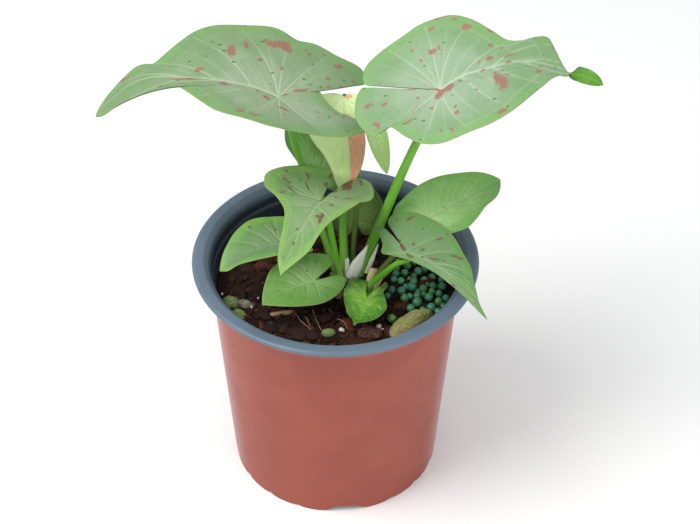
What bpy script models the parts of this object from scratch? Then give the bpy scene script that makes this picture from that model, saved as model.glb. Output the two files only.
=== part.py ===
# Potted arrowhead plant (Syngonium) in a plastic nursery pot, with its potting soil.
# Metres, +Z up. The origin is on the pot's axis, level with the feet under the pot.
# The front of the pot is at -Y. Lengths in the plant's lists are in millimetres, and
# heights there are measured from the top of the pot's rim.

import math

import bmesh
import bpy
import numpy as np
from mathutils import Vector

MM = 0.001
GAP = 0.3 * MM

# Pot
RIM_RADIUS = 60.0 * MM
RIM_TOP = 109.3 * MM
RIM_INNER_RADIUS = 54.3 * MM
LIP_DEPTH = 2.4 * MM
BODY_TOP_RADIUS = 52.3 * MM
FOOT_RADIUS = 45.5 * MM
WALL = 1.3 * MM
STACKING_RING_DROP = 9.0 * MM
FLOOR_UNDERSIDE = 3.0 * MM
FLOOR_THICKNESS = 1.4 * MM
BOSS_RADIUS = 9.0 * MM
POT_SIDES = 80
FOOT_PITCH = 4
FOOT_NOTCH = 1.3 * MM
DRAIN_SLOT = 2.9 * MM
DRAIN_SLOT_EVERY = 5
FIRST_SLOT_SIDE = 61
DRAIN_HOLES = 6
DRAIN_HOLE_RADIUS = 3.5 * MM
DRAIN_HOLE_RING = 29.0 * MM

# Soil
SOIL_DEPTH_UNDER_RIM = 15.0 * MM
SOIL_CROWN_RISE = 2.2 * MM
SOIL_BUMP = 0.15 * MM
SOIL_RINGS = 5
SOIL_SIDES = 32

# Leaves
BLADE = 0.8 * MM
SMALL_BLADE = 0.7 * MM
STALK_SIDES = 8
CREASE_FADE = 0.35


def clear_scene():
    for old in list(bpy.data.objects):
        bpy.data.objects.remove(old, do_unlink=True)


def material(name, colour, roughness, metallic=0.0):
    """Principled material from an sRGB hex colour"""
    rgb = [int(colour[i:i + 2], 16) / 255 for i in (0, 2, 4)]
    linear = [c / 12.92 if c <= 0.04045 else ((c + 0.055) / 1.055) ** 2.4 for c in rgb]
    made = bpy.data.materials.new(name)
    made.use_nodes = True
    shader = made.node_tree.nodes["Principled BSDF"]
    shader.inputs["Base Color"].default_value = (*linear, 1.0)
    shader.inputs["Roughness"].default_value = roughness
    shader.inputs["Metallic"].default_value = metallic
    made.diffuse_color = (*linear, 1.0)
    return made


def add_object(name, verts, faces, finish, smooth=True, sharp=40.0):
    """one closed mesh object, shaded smooth apart from its sharp edges"""
    mesh = bpy.data.meshes.new(name)
    mesh.from_pydata([tuple(map(float, v)) for v in verts], [], [tuple(map(int, f)) for f in faces])
    mesh.validate()
    made = bpy.data.objects.new(name, mesh)
    bpy.context.scene.collection.objects.link(made)
    if finish is not None:
        mesh.materials.append(finish)
    if smooth:
        mesh.shade_smooth()
        mesh.set_sharp_from_angle(angle=math.radians(sharp))
    return made


def as_cutter(made):
    made.hide_render = True
    made.display_type = "WIRE"
    return made


def apply_booleans(made):
    """keep the evaluated mesh and drop the modifiers"""
    graph = bpy.context.evaluated_depsgraph_get()
    finished = bpy.data.meshes.new_from_object(made.evaluated_get(graph))
    made.modifiers.clear()
    old = made.data
    made.data = finished
    bpy.data.meshes.remove(old)


def cut_with(made, cutters, operation="DIFFERENCE"):
    """boolean of a list of closed objects, which are removed afterwards"""
    group = bpy.data.collections.new(made.name + "_cutters")
    bpy.context.scene.collection.children.link(group)
    for cutter in cutters:
        bpy.context.scene.collection.objects.unlink(cutter)
        group.objects.link(cutter)
        as_cutter(cutter)
    step = made.modifiers.new(operation.lower(), "BOOLEAN")
    step.operation = operation
    step.solver = "EXACT"
    step.operand_type = "COLLECTION"
    step.collection = group
    bpy.context.view_layer.update()
    apply_booleans(made)
    for cutter in list(group.objects):
        bpy.data.objects.remove(cutter, do_unlink=True)
    bpy.data.collections.remove(group)


def foot_lift(side):
    """height of the skirt's lower edge: scalloped feet, with a drain slot at every fifth"""
    step = (side - FIRST_SLOT_SIDE) % POT_SIDES
    foot, place = divmod(step, FOOT_PITCH)
    if foot % DRAIN_SLOT_EVERY == 0 and place > 0:
        return DRAIN_SLOT
    if place == 0:
        return FOOT_NOTCH
    return 0.0


def make_pot(finish):
    """turned wall with rolled rim, stacking ledge, scalloped foot skirt and raised floor"""
    ring_height = RIM_TOP - STACKING_RING_DROP
    floor_top = FLOOR_UNDERSIDE + FLOOR_THICKNESS
    floor_radius = FOOT_RADIUS - WALL + 0.3 * MM
    outer = [
        (FOOT_RADIUS + 0.3 * MM, 5.0 * MM),
        (BODY_TOP_RADIUS - 0.9 * MM, ring_height - 1.2 * MM),
        (BODY_TOP_RADIUS - 0.4 * MM, ring_height),
        (BODY_TOP_RADIUS, RIM_TOP - LIP_DEPTH - 1.3 * MM),
        (BODY_TOP_RADIUS + 0.7 * MM, RIM_TOP - LIP_DEPTH),
        (RIM_RADIUS - 1.3 * MM, RIM_TOP - LIP_DEPTH),
        (RIM_RADIUS, RIM_TOP - LIP_DEPTH + 0.8 * MM),
        (RIM_RADIUS, RIM_TOP - 0.9 * MM),
        (RIM_RADIUS - 1.2 * MM, RIM_TOP),
        (RIM_INNER_RADIUS + 0.9 * MM, RIM_TOP),
        (RIM_INNER_RADIUS, RIM_TOP - 0.8 * MM),
        (BODY_TOP_RADIUS - 0.3 * MM, RIM_TOP - 2.0 * MM),
        (BODY_TOP_RADIUS - 1.3 * MM, RIM_TOP - 4.3 * MM),
        (BODY_TOP_RADIUS - 1.5 * MM, ring_height + 1.4 * MM),
        (BODY_TOP_RADIUS - 2.4 * MM, ring_height + 0.4 * MM),
        (BODY_TOP_RADIUS - 2.6 * MM, ring_height - 1.2 * MM),
        (floor_radius, floor_top),
    ]
    under = [
        (BOSS_RADIUS, 0.0),
        (BOSS_RADIUS, FLOOR_UNDERSIDE),
        (FOOT_RADIUS - WALL, FLOOR_UNDERSIDE + 0.6 * MM),
    ]
    skirt = (FOOT_RADIUS - WALL, FOOT_RADIUS)
    verts = []
    for side in range(POT_SIDES):
        turn = 2 * math.pi * side / POT_SIDES
        across, along = math.cos(turn), math.sin(turn)
        profile = under + [(r, foot_lift(side)) for r in skirt] + outer
        verts += [(r * across, r * along, z) for r, z in profile]
    rows = len(under) + len(skirt) + len(outer)
    faces = []
    for side in range(POT_SIDES):
        here, there = side * rows, (side + 1) % POT_SIDES * rows
        for row in range(rows - 1):
            faces.append((here + row, there + row, there + row + 1, here + row + 1))
    faces.append([side * rows for side in range(POT_SIDES)][::-1])
    faces.append([side * rows + rows - 1 for side in range(POT_SIDES)])
    pot = add_object("pot", verts, faces, finish)
    holes = []
    for hole in range(DRAIN_HOLES):
        turn = 2 * math.pi * (hole + 0.5) / DRAIN_HOLES
        centre = (DRAIN_HOLE_RING * math.cos(turn), DRAIN_HOLE_RING * math.sin(turn))
        holes.append(post("hole", centre, DRAIN_HOLE_RADIUS, FLOOR_UNDERSIDE - 2 * MM, floor_top + 2 * MM, 10))
    cut_with(pot, holes)
    return pot


def post(name, centre, radius, low, high, sides, stretch=(1.0, 1.0)):
    """upright prism, closed at both ends"""
    turn = np.arange(sides) * 2 * math.pi / sides
    rim = np.stack([centre[0] + radius * stretch[0] * np.cos(turn),
                    centre[1] + radius * stretch[1] * np.sin(turn)], 1)
    verts = [(*p, low) for p in rim] + [(*p, high) for p in rim]
    faces = [(i, (i + 1) % sides, sides + (i + 1) % sides, sides + i) for i in range(sides)]
    faces.append(list(range(sides))[::-1])
    faces.append(list(range(sides, 2 * sides)))
    return add_object(name, verts, faces, None, smooth=False)


def soil_height(x, y):
    """bumpy top of the soil, a little higher round the stems"""
    u, v = x / MM, y / MM
    bumps = np.sin(u / 5.3 + 1.2) * np.cos(v / 4.7) + 0.6 * np.sin((u + v) / 3.1 + 0.5)
    crown = np.exp(-(u * u + v * v) / 500.0)
    return RIM_TOP - SOIL_DEPTH_UNDER_RIM + SOIL_CROWN_RISE * crown + SOIL_BUMP * bumps


def wall_inner_radius(z):
    """inner radius of the pot's wall between its floor and the stacking ledge"""
    low, high = FLOOR_UNDERSIDE + FLOOR_THICKNESS, RIM_TOP - STACKING_RING_DROP - 1.2 * MM
    bottom, top = FOOT_RADIUS - WALL + 0.3 * MM, BODY_TOP_RADIUS - 2.6 * MM
    return bottom + (top - bottom) * (z - low) / (high - low)


def make_soil(finish, cutters):
    """soil that fills the pot, with recesses for what is set in it"""
    bottom = FLOOR_UNDERSIDE + FLOOR_THICKNESS + GAP
    turn = np.arange(SOIL_SIDES) * 2 * math.pi / SOIL_SIDES
    faceting = math.cos(math.pi / SOIL_SIDES)
    verts = [(0.0, 0.0, float(soil_height(0.0, 0.0)))]
    edge = wall_inner_radius(RIM_TOP - SOIL_DEPTH_UNDER_RIM) * faceting - 2 * GAP
    for ring in range(1, SOIL_RINGS + 1):
        radius = edge * ring / SOIL_RINGS
        x, y = radius * np.cos(turn), radius * np.sin(turn)
        z = soil_height(x, y)
        if ring == SOIL_RINGS:
            z = np.full_like(x, RIM_TOP - SOIL_DEPTH_UNDER_RIM)
        verts += list(zip(x, y, z))
    low = wall_inner_radius(bottom) * faceting - 2 * GAP
    verts += [(low * math.cos(t), low * math.sin(t), bottom) for t in turn]
    faces = [(0, 1 + i, 1 + (i + 1) % SOIL_SIDES) for i in range(SOIL_SIDES)]
    for ring in range(SOIL_RINGS):
        inner, outer = 1 + ring * SOIL_SIDES, 1 + (ring + 1) * SOIL_SIDES
        for i in range(SOIL_SIDES):
            j = (i + 1) % SOIL_SIDES
            faces.append((inner + i, outer + i, outer + j))
            faces.append((inner + i, outer + j, inner + j))
    last = 1 + SOIL_RINGS * SOIL_SIDES
    faces.append([last + i for i in range(SOIL_SIDES)][::-1])
    soil = add_object("soil", verts, faces, finish, sharp=60.0)
    cut_with(soil, cutters)
    return soil


# Each leaf: joint is where the stalk meets the blade (x, y, height over the rim, mm).
# heading, rise, roll: how the blade lies there, in degrees. arch and hook bend the midrib
# down along its length, hook mostly at the tip; sweep turns it sideways and twist rolls it.
# back bends the rear lobes. fold lifts the left and the right half, tip_fold adds to both
# near the tip and lobe_fold to each rear lobe. bend is the length that the bending is spread
# over, where it isn't the blade's own, and flip turns the tip over between two distances
# along it. cleft is the point where the two rear lobes part. The outline runs in millimetres along and
# across the midrib, from the tip back to the cleft, left side and right side.
LEAVES = {
    "leaf_upper_left": dict(
        joint=(-23.1, 15.0, 69.6), heading=181, rise=20, arch=-44, hook=-46, sweep=-6, back=-8,
        roll=-4, twist=-4, fold=(11, 11), tip_fold=-25, lobe_fold=(-6, 0), length=80.5, bend=84.0,
        cleft=(-1.35, -0.65),
        left=[(75.7, 4.3), (70, 5.4), (62, 3.2), (54, 0), (47.6, -1.6), (41, 1.4), (35.4, 6.9), (30, 13.4),
              (23.5, 20.4), (15, 24), (5, 26.4), (-3, 25), (-12, 21.6), (-24, 17.6), (-33, 13), (-37.4, 9),
              (-37, 5.4), (-31, 3), (-25, 0), (-18, -3.6), (-9, -3.2)],
        right=[(77, -5.4), (74, -9.2), (65, -11.6), (57.5, -15.2), (51.6, -13.6), (47.5, -17.4),
               (42, -23.4), (35, -29.8), (28, -33), (15, -34.2), (4, -35.4), (-5, -32.9), (-13, -34),
               (-22, -31.4), (-33.5, -26.8), (-36.5, -21), (-35, -16.8), (-20, -9.6), (-9, -4.3)]),
    "leaf_upper_right": dict(
        joint=(40.9, 10.0, 77.0), heading=9, rise=20, arch=-46, hook=-10, sweep=0, back=-10,
        roll=14, twist=-12, fold=(5, 5), tip_fold=-5, lobe_fold=(-6, 6), length=71.0, bend=82.0,
        flip=(50.5, 57.0, -130.0), cleft=(-1.4, 0.55),
        left=[(69, 3.2), (63, 4.6), (58, 3.4), (53.5, 1.8), (51, 4.5), (49.3, 11), (46.9, 17.9),
              (43, 17.8), (36.5, 15.6), (31, 16.1), (26, 21.5), (19.5, 29), (13, 33.2), (3.5, 33.4),
              (-7.5, 31.4), (-19, 27.6), (-26, 23), (-27.8, 19), (-26, 16), (-14, 8.4), (-6, 3.4)],
        right=[(69, -3.2), (63, -4.6), (58, -3.4), (53.5, -1.2), (46.4, -3.8), (38, -11.3), (26, -20.6),
               (15, -25.4), (3, -26.6), (-7, -27), (-13.5, -24), (-18.6, -17.4), (-22.5, -11.4),
               (-25, -11), (-27.5, -16.8), (-31, -18), (-33.4, -13), (-34.4, -3), (-34.2, 5), (-31.5, 9),
               (-24, 8.6), (-12, 4.6)]),
    "leaf_centre": dict(
        joint=(3.2, 29.0, 58.4), heading=-92, rise=-76, arch=-10, hook=0, sweep=0, back=6,
        roll=0, twist=0, fold=(14, 4), tip_fold=0, lobe_fold=(0, 0), length=43.0,
        left=[(40, 2.6), (34, 5.4), (26, 7.2), (16, 7.6), (6, 7.6), (0, 7.2), (-2.8, 5), (-2.6, 2.2)],
        right=[(42, -3.4), (39, -6.4), (33.5, -8.9), (29, -11.3), (25, -13.8), (20, -16.2), (10, -17),
               (4, -16), (0, -13), (-2.4, -8), (-2.6, -3)]),
    "leaf_hanging_bud": dict(
        joint=(13.9, 24.0, 52.2), heading=-54, rise=-54, arch=-10, hook=0, sweep=0, back=8,
        roll=0, twist=0, fold=(20, 20), tip_fold=0, lobe_fold=(0, 0), length=24.0,
        left=[(20.5, 2), (14, 4), (7, 5), (1, 4.4), (-4, 3), (-3.4, 1.2)],
        right=[(20.5, -2.4), (14, -4.8), (7, -5.4), (1, -4.8), (-4, -3.2), (-3.4, -1.2)]),
    "leaf_middle": dict(
        joint=(-5.8, -4.0, 32.0), heading=-109, rise=15, arch=-32, hook=2, sweep=3, back=-8,
        roll=2, twist=2, fold=(9, 8), tip_fold=1, lobe_fold=(-34, 12), length=48.5,
        left=[(45.8, 1.6), (41.3, 4.7), (35.3, 7.7), (27, 8.6), (19, 9.8), (10, 13.4), (0, 16.6),
              (-12, 17.6), (-24.5, 15.4), (-30.5, 12.6), (-31.3, 9), (-27, 5.2), (-17, 1.6), (-7, 0.7)],
        right=[(41.6, -3.3), (34, -5.2), (24, -7.2), (14.5, -10.6), (8, -16.5), (2.4, -23.6), (-5.2, -26.6),
               (-13, -24.4), (-20.5, -18), (-24.5, -9), (-22.8, -4), (-12.9, -1), (-5, -0.6)]),
    "leaf_left": dict(
        joint=(-22.6, -2.0, 7.5), heading=205, rise=12, arch=-39, hook=-9, sweep=5, back=-8,
        roll=2, twist=-5, fold=(20, 18), tip_fold=-1, lobe_fold=(-7, 12), length=29.0,
        left=[(26, 4.4), (21, 6.2), (15.5, 9.8), (9, 12.6), (2, 13.4), (-5, 12.6), (-10.5, 9.4), (-10, 4.6),
              (-5, 1.2)],
        right=[(26.6, -2.4), (20, -8), (14.5, -11.8), (8, -14.4), (0, -14.3), (-6.5, -13.2), (-12, -10),
               (-12.4, -5.5), (-6, -1.4)]),
    "leaf_low_left": dict(
        joint=(-9.2, -14.0, -2.5), heading=215, rise=9, arch=-9, hook=-19, sweep=6, back=-16,
        roll=-12, twist=-2, fold=(7, 13), tip_fold=-1, lobe_fold=(1, 9), length=25.6,
        left=[(22.9, 3.2), (18.8, 7), (12, 10.9), (4, 13), (-3.3, 11.6), (-9.7, 8.6), (-13, 5),
              (-11.3, 1.9), (-5.5, 0.6)],
        right=[(23.8, -2.1), (19, -7), (13.5, -11.4), (6, -13.6), (-1.5, -13.6), (-8.5, -11),
               (-13, -8.2), (-12.9, -4.6), (-7.5, -2.6)]),
    "leaf_low_front": dict(
        joint=(12.9, -19.0, -7.7), heading=-102, rise=0, arch=16, hook=-6, sweep=-10, back=18,
        roll=-2, twist=-4, fold=(19, 20), tip_fold=3, lobe_fold=(-2, -14), length=20.3,
        left=[(17, 1.2), (14.3, 4.6), (10.5, 9), (5.5, 10.2), (0.5, 8.2), (-3, 6.8), (-8, 7.4), (-12, 6.6),
              (-12.8, 5.5), (-7, 3.1)],
        right=[(17, -1.8), (12.5, -5.8), (7, -8.6), (0, -10), (-7, -9.8), (-13, -9), (-15.6, -5.8),
               (-14.5, -3.6), (-7, -1.9)]),
    "leaf_right": dict(
        joint=(38.8, 7.0, 14.9), heading=36, rise=7, arch=-8, hook=0, sweep=3, back=-11,
        roll=4, twist=6, fold=(10, 8), tip_fold=8, lobe_fold=(0, 1), length=38.8,
        left=[(37.8, 1.8), (34.9, 5), (30, 8.6), (23.5, 11.8), (15.5, 14.8), (6, 15.6), (-3, 13.8),
              (-9.5, 11.6), (-13, 8), (-11, 3.6), (-5, 1.2)],
        right=[(34.3, -4.9), (29.4, -8.4), (21.5, -10.6), (14.5, -14), (7.6, -16.2), (0, -14.6), (-6, -13.4),
               (-10.5, -10), (-10, -4.6), (-5, -1.4)]),
    "leaf_front_right": dict(
        joint=(28.75, -20.1, 18.8), heading=-46, rise=16, arch=-46, hook=-14, sweep=-6, back=-8,
        roll=10, twist=0, fold=(3, -24), tip_fold=0, lobe_fold=(12, 0), length=47.6, bend=60.0,
        cleft=(-1.4, 0.6),
        left=[(43.5, 0.6), (38, 2.2), (32.9, 4.7), (27.6, 8.4), (20, 11.8), (11.5, 16), (2, 19),
              (-9, 19.3), (-17, 17.6), (-21, 13.8), (-20.5, 10.4), (-13, 6.4), (-6, 2.8)],
        right=[(44.5, -2.4), (36, -2.4), (26, -2.6), (14, -2.6), (3, -2.9), (-6, -4), (-11, -4.6),
               (-13, -1.2), (-19, 3), (-23.6, 5.6), (-21.4, 7), (-13, 5)]),
    "leaf_shaded": dict(
        joint=(7.7, 22.0, -5.1), heading=92, rise=30, arch=-12, hook=0, sweep=0, back=-10,
        roll=0, twist=0, fold=(12, 12), tip_fold=0, lobe_fold=(0, 0), length=23.0,
        left=[(19, 3.4), (13, 8), (6, 11), (-2, 11), (-7, 7.6), (-7.5, 3.4), (-4, 1.2)],
        right=[(19, -3.4), (13, -8.4), (6, -11.8), (-2, -12), (-7, -8.4), (-7.5, -3.6), (-4, -1.2)]),
    "leaf_back_left": dict(
        joint=(-5.8, 28.0, 16.2), heading=157, rise=68, arch=-12, hook=0, sweep=0, back=-8,
        roll=-50, twist=0, fold=(8, 8), tip_fold=0, lobe_fold=(0, 0), length=33.0,
        left=[(28, 2.6), (20, 4.4), (11, 5.4), (2, 6), (-4.6, 4.8), (-6, 3), (-4, 1.2)],
        right=[(28, -3), (20, -5.4), (10, -6.2), (1, -6.2), (-4.6, -5), (-6, -3), (-4, -1.2)]),
}

# Outline points on each side, rings from joint to edge, and thickness of the blade.
LARGE = dict(side_points=21, rings=4, blade=BLADE)
MEDIUM = dict(side_points=15, rings=3, blade=BLADE)
SMALL = dict(side_points=11, rings=3, blade=SMALL_BLADE)
GRAIN = {
    "leaf_upper_left": LARGE,
    "leaf_upper_right": LARGE,
    "leaf_centre": MEDIUM,
    "leaf_hanging_bud": SMALL,
    "leaf_middle": MEDIUM,
    "leaf_left": SMALL,
    "leaf_low_left": SMALL,
    "leaf_low_front": SMALL,
    "leaf_right": MEDIUM,
    "leaf_front_right": MEDIUM,
    "leaf_shaded": SMALL,
    "leaf_back_left": SMALL,
}

# Leaf stalks, from their foot in the crown to just under the blade: points in millimetres
# with heights over the rim, thickness at the foot and at the top, and the length that
# runs straight up to the joint.
STALKS = {
    "shoot_main": {
        "leaf_upper_left": ([(1.0, 0.5, -14), (-5.0, 11.0, 1), (-10.4, 20.5, 13), (-14.6, 25.0, 28),
                             (-19.2, 22.0, 50)], 3.4, 2.2, 3.0),
        "leaf_upper_right": ([(9.0, 0.4, -14), (20.2, 6.5, 17.1), (31.4, 9.0, 49)], 4.6, 3.0, 3.0),
        "leaf_centre": ([(4.2, 1.5, -14), (3.2, 10.0, 0), (2.9, 20.0, 9), (2.8, 30.0, 20),
                         (2.9, 34.0, 40)], 4.0, 2.4, 3.0),
        "leaf_hanging_bud": ([(6.4, 4.0, -14), (8.4, 16.0, 8), (9.6, 26.0, 28)], 2.6, 1.8, 3.0),
        "leaf_middle": ([(2.4, -2.4, -14), (-1.2, -2.4, 10), (-3.8, -1.6, 24)], 3.0, 2.2, 3.0),
        "leaf_shaded": ([(6.8, 2.6, -12), (7.0, 9.0, -11), (7.4, 17.0, -10.6)], 2.2, 1.6, 1.0),
        "leaf_back_left": ([(1.0, 3.0, -13), (-1.6, 12.0, -4), (-4.6, 25.0, 2), (-6.4, 31.6, 8)],
                           2.6, 1.8, 1.0),
    },
    "shoot_left": {
        "leaf_left": ([(-7.2, -4.6, -13), (-10.0, 0.6, -5), (-17.0, 1.6, 2)], 2.4, 1.8, 2.0),
        "leaf_low_left": ([(-6.4, -6.8, -14), (-7.4, -10.2, -8)], 2.4, 1.8, 1.0),
    },
    "shoot_right": {
        "leaf_right": ([(14.6, -6.6, -14), (18.8, -4.6, -5), (27.0, -1.0, 4)], 2.6, 2.0, 3.0),
        "leaf_front_right": ([(14.2, -9.8, -14), (14.7, -11.3, -7), (19.8, -15.6, 3), (25.0, -18.4, 11)],
                             3.0, 2.2, 3.0),
        "leaf_low_front": ([(13.6, -10.8, -12.4), (13.2, -15.0, -10.8)], 2.2, 1.7, 0.0),
    },
}
# Crowns at the soil: centre (mm), half widths and half height (mm).
CROWNS = {
    "shoot_main": ((4.6, 1.2, -14.4), (8.0, 5.4, 4.6)),
    "shoot_left": ((-7.0, -5.4, -14.5), (3.4, 3.2, 4.6)),
    "shoot_right": ((14.2, -8.8, -15.0), (3.4, 4.2, 2.6)),
}
# Sheathing stalk bases: points (mm), half width and half thickness at foot and top.
SHEATHS = {
    "shoot_main": [
        ([(7.4, -1.0, -13), (11.6, 1.0, -2), (15.0, 2.2, 6.5)], (4.0, 2.4), (1.9, 1.7)),
        ([(5.6, -0.8, -13), (5.4, 0.4, -4), (5.0, 1.6, 1.5)], (2.0, 1.6), (1.1, 1.0)),
    ],
    "shoot_left": [],
    "shoot_right": [
        ([(14.3, -7.0, -14), (14.6, -5.2, -9.5), (16.0, -3.4, -4.6)], (1.9, 1.5), (1.6, 1.0)),
    ],
}


def through(points, count):
    """centripetal curve through points, count of them evenly spaced along it"""
    points = np.asarray(points, float)
    ends = np.vstack([2 * points[0] - points[1], points, 2 * points[-1] - points[-2]])
    fine = []
    for i in range(len(points) - 1):
        p0, p1, p2, p3 = ends[i:i + 4]
        t0 = 0.0
        t1 = t0 + max(np.linalg.norm(p1 - p0), 1e-6) ** 0.5
        t2 = t1 + max(np.linalg.norm(p2 - p1), 1e-6) ** 0.5
        t3 = t2 + max(np.linalg.norm(p3 - p2), 1e-6) ** 0.5
        t = np.linspace(t1, t2, 24, endpoint=False)[:, None]
        a1 = (t1 - t) / (t1 - t0) * p0 + (t - t0) / (t1 - t0) * p1
        a2 = (t2 - t) / (t2 - t1) * p1 + (t - t1) / (t2 - t1) * p2
        a3 = (t3 - t) / (t3 - t2) * p2 + (t - t2) / (t3 - t2) * p3
        b1 = (t2 - t) / (t2 - t0) * a1 + (t - t0) / (t2 - t0) * a2
        b2 = (t3 - t) / (t3 - t1) * a2 + (t - t1) / (t3 - t1) * a3
        fine.append((t2 - t) / (t2 - t1) * b1 + (t - t1) / (t2 - t1) * b2)
    fine = np.vstack(fine + [points[-1:]])
    run = np.concatenate([[0.0], np.cumsum(np.linalg.norm(np.diff(fine, axis=0), axis=1))])
    wanted = np.linspace(0.0, run[-1], count)
    return np.stack([np.interp(wanted, run, fine[:, i]) for i in range(fine.shape[1])], 1)


def outline(leaf, side_points):
    """flat outline from the cleft round the right side to the tip and back round the left"""
    tip, cleft = (leaf["length"], 0.0), leaf.get("cleft", (-1.5, 0.0))
    left = through([tip] + leaf["left"] + [cleft], side_points)
    right = through([tip] + leaf["right"] + [cleft], side_points)
    return np.vstack([right[::-1], left[1:-1]])


def midrib(leaf):
    """the midrib and its run back between the lobes, with the blade's side and normal"""
    length = leaf["length"]
    reach = 1.15 * max(-min(a for a, b in leaf["left"]), -min(a for a, b in leaf["right"]))
    along = np.linspace(-reach, 1.02 * length, 241)
    part = np.clip(along / leaf.get("bend", length), 0, None)
    rear = np.clip(-along / reach, 0, None)
    pitch = leaf["rise"] + leaf["arch"] * part + leaf["hook"] * part ** 4 + leaf["back"] * rear
    turn = leaf["heading"] + leaf["sweep"] * part ** 2
    pitch, turn = np.radians(pitch), np.radians(turn)
    forward = np.stack([np.cos(pitch) * np.cos(turn), np.cos(pitch) * np.sin(turn), np.sin(pitch)], 1)
    level = np.stack([-np.sin(turn), np.cos(turn), np.zeros_like(turn)], 1)
    normal = np.cross(forward, level)
    steps = (forward[1:] + forward[:-1]) / 2 * (along[1] - along[0])
    line = np.vstack([np.zeros(3), np.cumsum(steps, axis=0)])
    line -= np.array([np.interp(0.0, along, line[:, i]) for i in range(3)])
    roll = leaf["roll"] + leaf["twist"] * part ** 2
    start, stop, angle = leaf.get("flip", (0.0, 1.0, 0.0))
    ease = np.clip((along - start) / (stop - start), 0, 1)
    roll = np.radians(roll + angle * ease * ease * (3 - 2 * ease))[:, None]
    side = level * np.cos(roll) + normal * np.sin(roll)
    up = normal * np.cos(roll) - level * np.sin(roll)
    return along, line, side, up


def blade_surface(leaf, flat, sink):
    """places flat points (along, across) on the bent blade, sink mm under its upper face"""
    along, line, side, up = midrib(leaf)
    a, b = flat[:, 0], flat[:, 1]
    centre, side, up = (np.stack([np.interp(a, along, v[:, i]) for i in range(3)], 1) for v in (line, side, up))
    rear = -min(p[0] for p in leaf["left"])
    back = np.clip(-a / rear, 0, 1.2)
    left = b >= 0
    fold = np.where(left, leaf["fold"][0] + leaf["lobe_fold"][0] * back,
                    leaf["fold"][1] + leaf["lobe_fold"][1] * back)
    fold = np.radians(fold + leaf["tip_fold"] * np.clip(a / leaf.get("bend", leaf["length"]), 0, 1) ** 2)
    soft = CREASE_FADE * np.clip(-a, 0, None)
    lifted = np.sqrt(b * b + soft * soft) - soft
    out = np.cos(fold) * b
    rise = np.sin(fold) * lifted
    joint = np.array(leaf["joint"])
    return joint + centre + side * out[:, None] + up * (rise - sink)[:, None]


def to_metres(points):
    return points * MM + np.array([0.0, 0.0, RIM_TOP])


def make_leaf(name, finish):
    """fan of rings from the joint to the outline, with both faces triangulated alike"""
    leaf, grain = LEAVES[name], GRAIN[name]
    edge = outline(leaf, grain["side_points"])
    count, rings = len(edge), grain["rings"]
    flat = np.vstack([np.zeros((1, 2))] + [edge * ring / rings for ring in range(1, rings + 1)])
    top = blade_surface(leaf, flat, 0.0)
    under = blade_surface(leaf, flat, grain["blade"] / MM)
    verts = to_metres(np.vstack([top, under]))
    size = len(flat)
    faces = []
    for i in range(count):
        j = (i + 1) % count
        ring_faces = [(0, 1 + i, 1 + j)]
        for ring in range(rings - 1):
            inner, outer = 1 + ring * count, 1 + (ring + 1) * count
            ring_faces.append((inner + i, outer + i, outer + j))
            ring_faces.append((inner + i, outer + j, inner + j))
        faces += ring_faces
        faces += [tuple(size + v for v in face[::-1]) for face in ring_faces]
        last = 1 + (rings - 1) * count
        faces.append((last + i, size + last + i, size + last + j))
        faces.append((last + i, size + last + j, last + j))
    return add_object(name, verts, faces, finish, sharp=50.0)


def tube(name, points, half_widths, half_depths, sides, samples):
    """closed tapered tube along a smooth curve; its section is wide along X and deep along Y"""
    path = through(points, samples)
    share = np.linspace(0, 1, samples)
    wide = half_widths[0] + (half_widths[1] - half_widths[0]) * share
    deep = half_depths[0] + (half_depths[1] - half_depths[0]) * share
    ahead = np.gradient(path, axis=0)
    ahead /= np.linalg.norm(ahead, axis=1)[:, None]
    across = np.cross(np.array([0.0, 1.0, 0.0]), ahead)
    across /= np.linalg.norm(across, axis=1)[:, None]
    through_axis = np.cross(ahead, across)
    turn = np.arange(sides) * 2 * math.pi / sides
    ring = (across[:, None] * (wide[:, None] * np.cos(turn))[..., None]
            + through_axis[:, None] * (deep[:, None] * np.sin(turn))[..., None])
    verts = to_metres((path[:, None] + ring).reshape(-1, 3))
    faces = []
    for k in range(samples - 1):
        here, there = k * sides, (k + 1) * sides
        for i in range(sides):
            j = (i + 1) % sides
            faces.append((here + i, here + j, there + j, there + i))
    faces.append(list(range(sides))[::-1])
    faces.append(list(range((samples - 1) * sides, samples * sides)))
    return add_object(name, verts, faces, None, smooth=False)


def ellipsoid(name, centre, radii, finish, segments=14, rings=9):
    """closed ball stretched to three half widths, centre and radii in metres"""
    form = bmesh.new()
    bmesh.ops.create_uvsphere(form, u_segments=segments, v_segments=rings, radius=1.0)
    for vert in form.verts:
        vert.co = Vector([c + v * r for c, v, r in zip(centre, vert.co, radii)])
    verts = [tuple(v.co) for v in form.verts]
    faces = [[v.index for v in f.verts] for f in form.faces]
    form.free()
    return add_object(name, verts, faces, finish)


def stalk_end(leaf, blade, thickness, straight):
    """the top of a stalk, just clear of the blade, and a point straight under it"""
    along, line, side, up = midrib(leaf)
    here = np.array([np.interp(0.0, along, up[:, i]) for i in range(3)])
    joint = np.array(leaf["joint"])
    drop = blade + GAP / MM + 0.35 * thickness
    top = joint - here * drop
    return [top - here * straight, top] if straight > 0 else [top]


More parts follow.
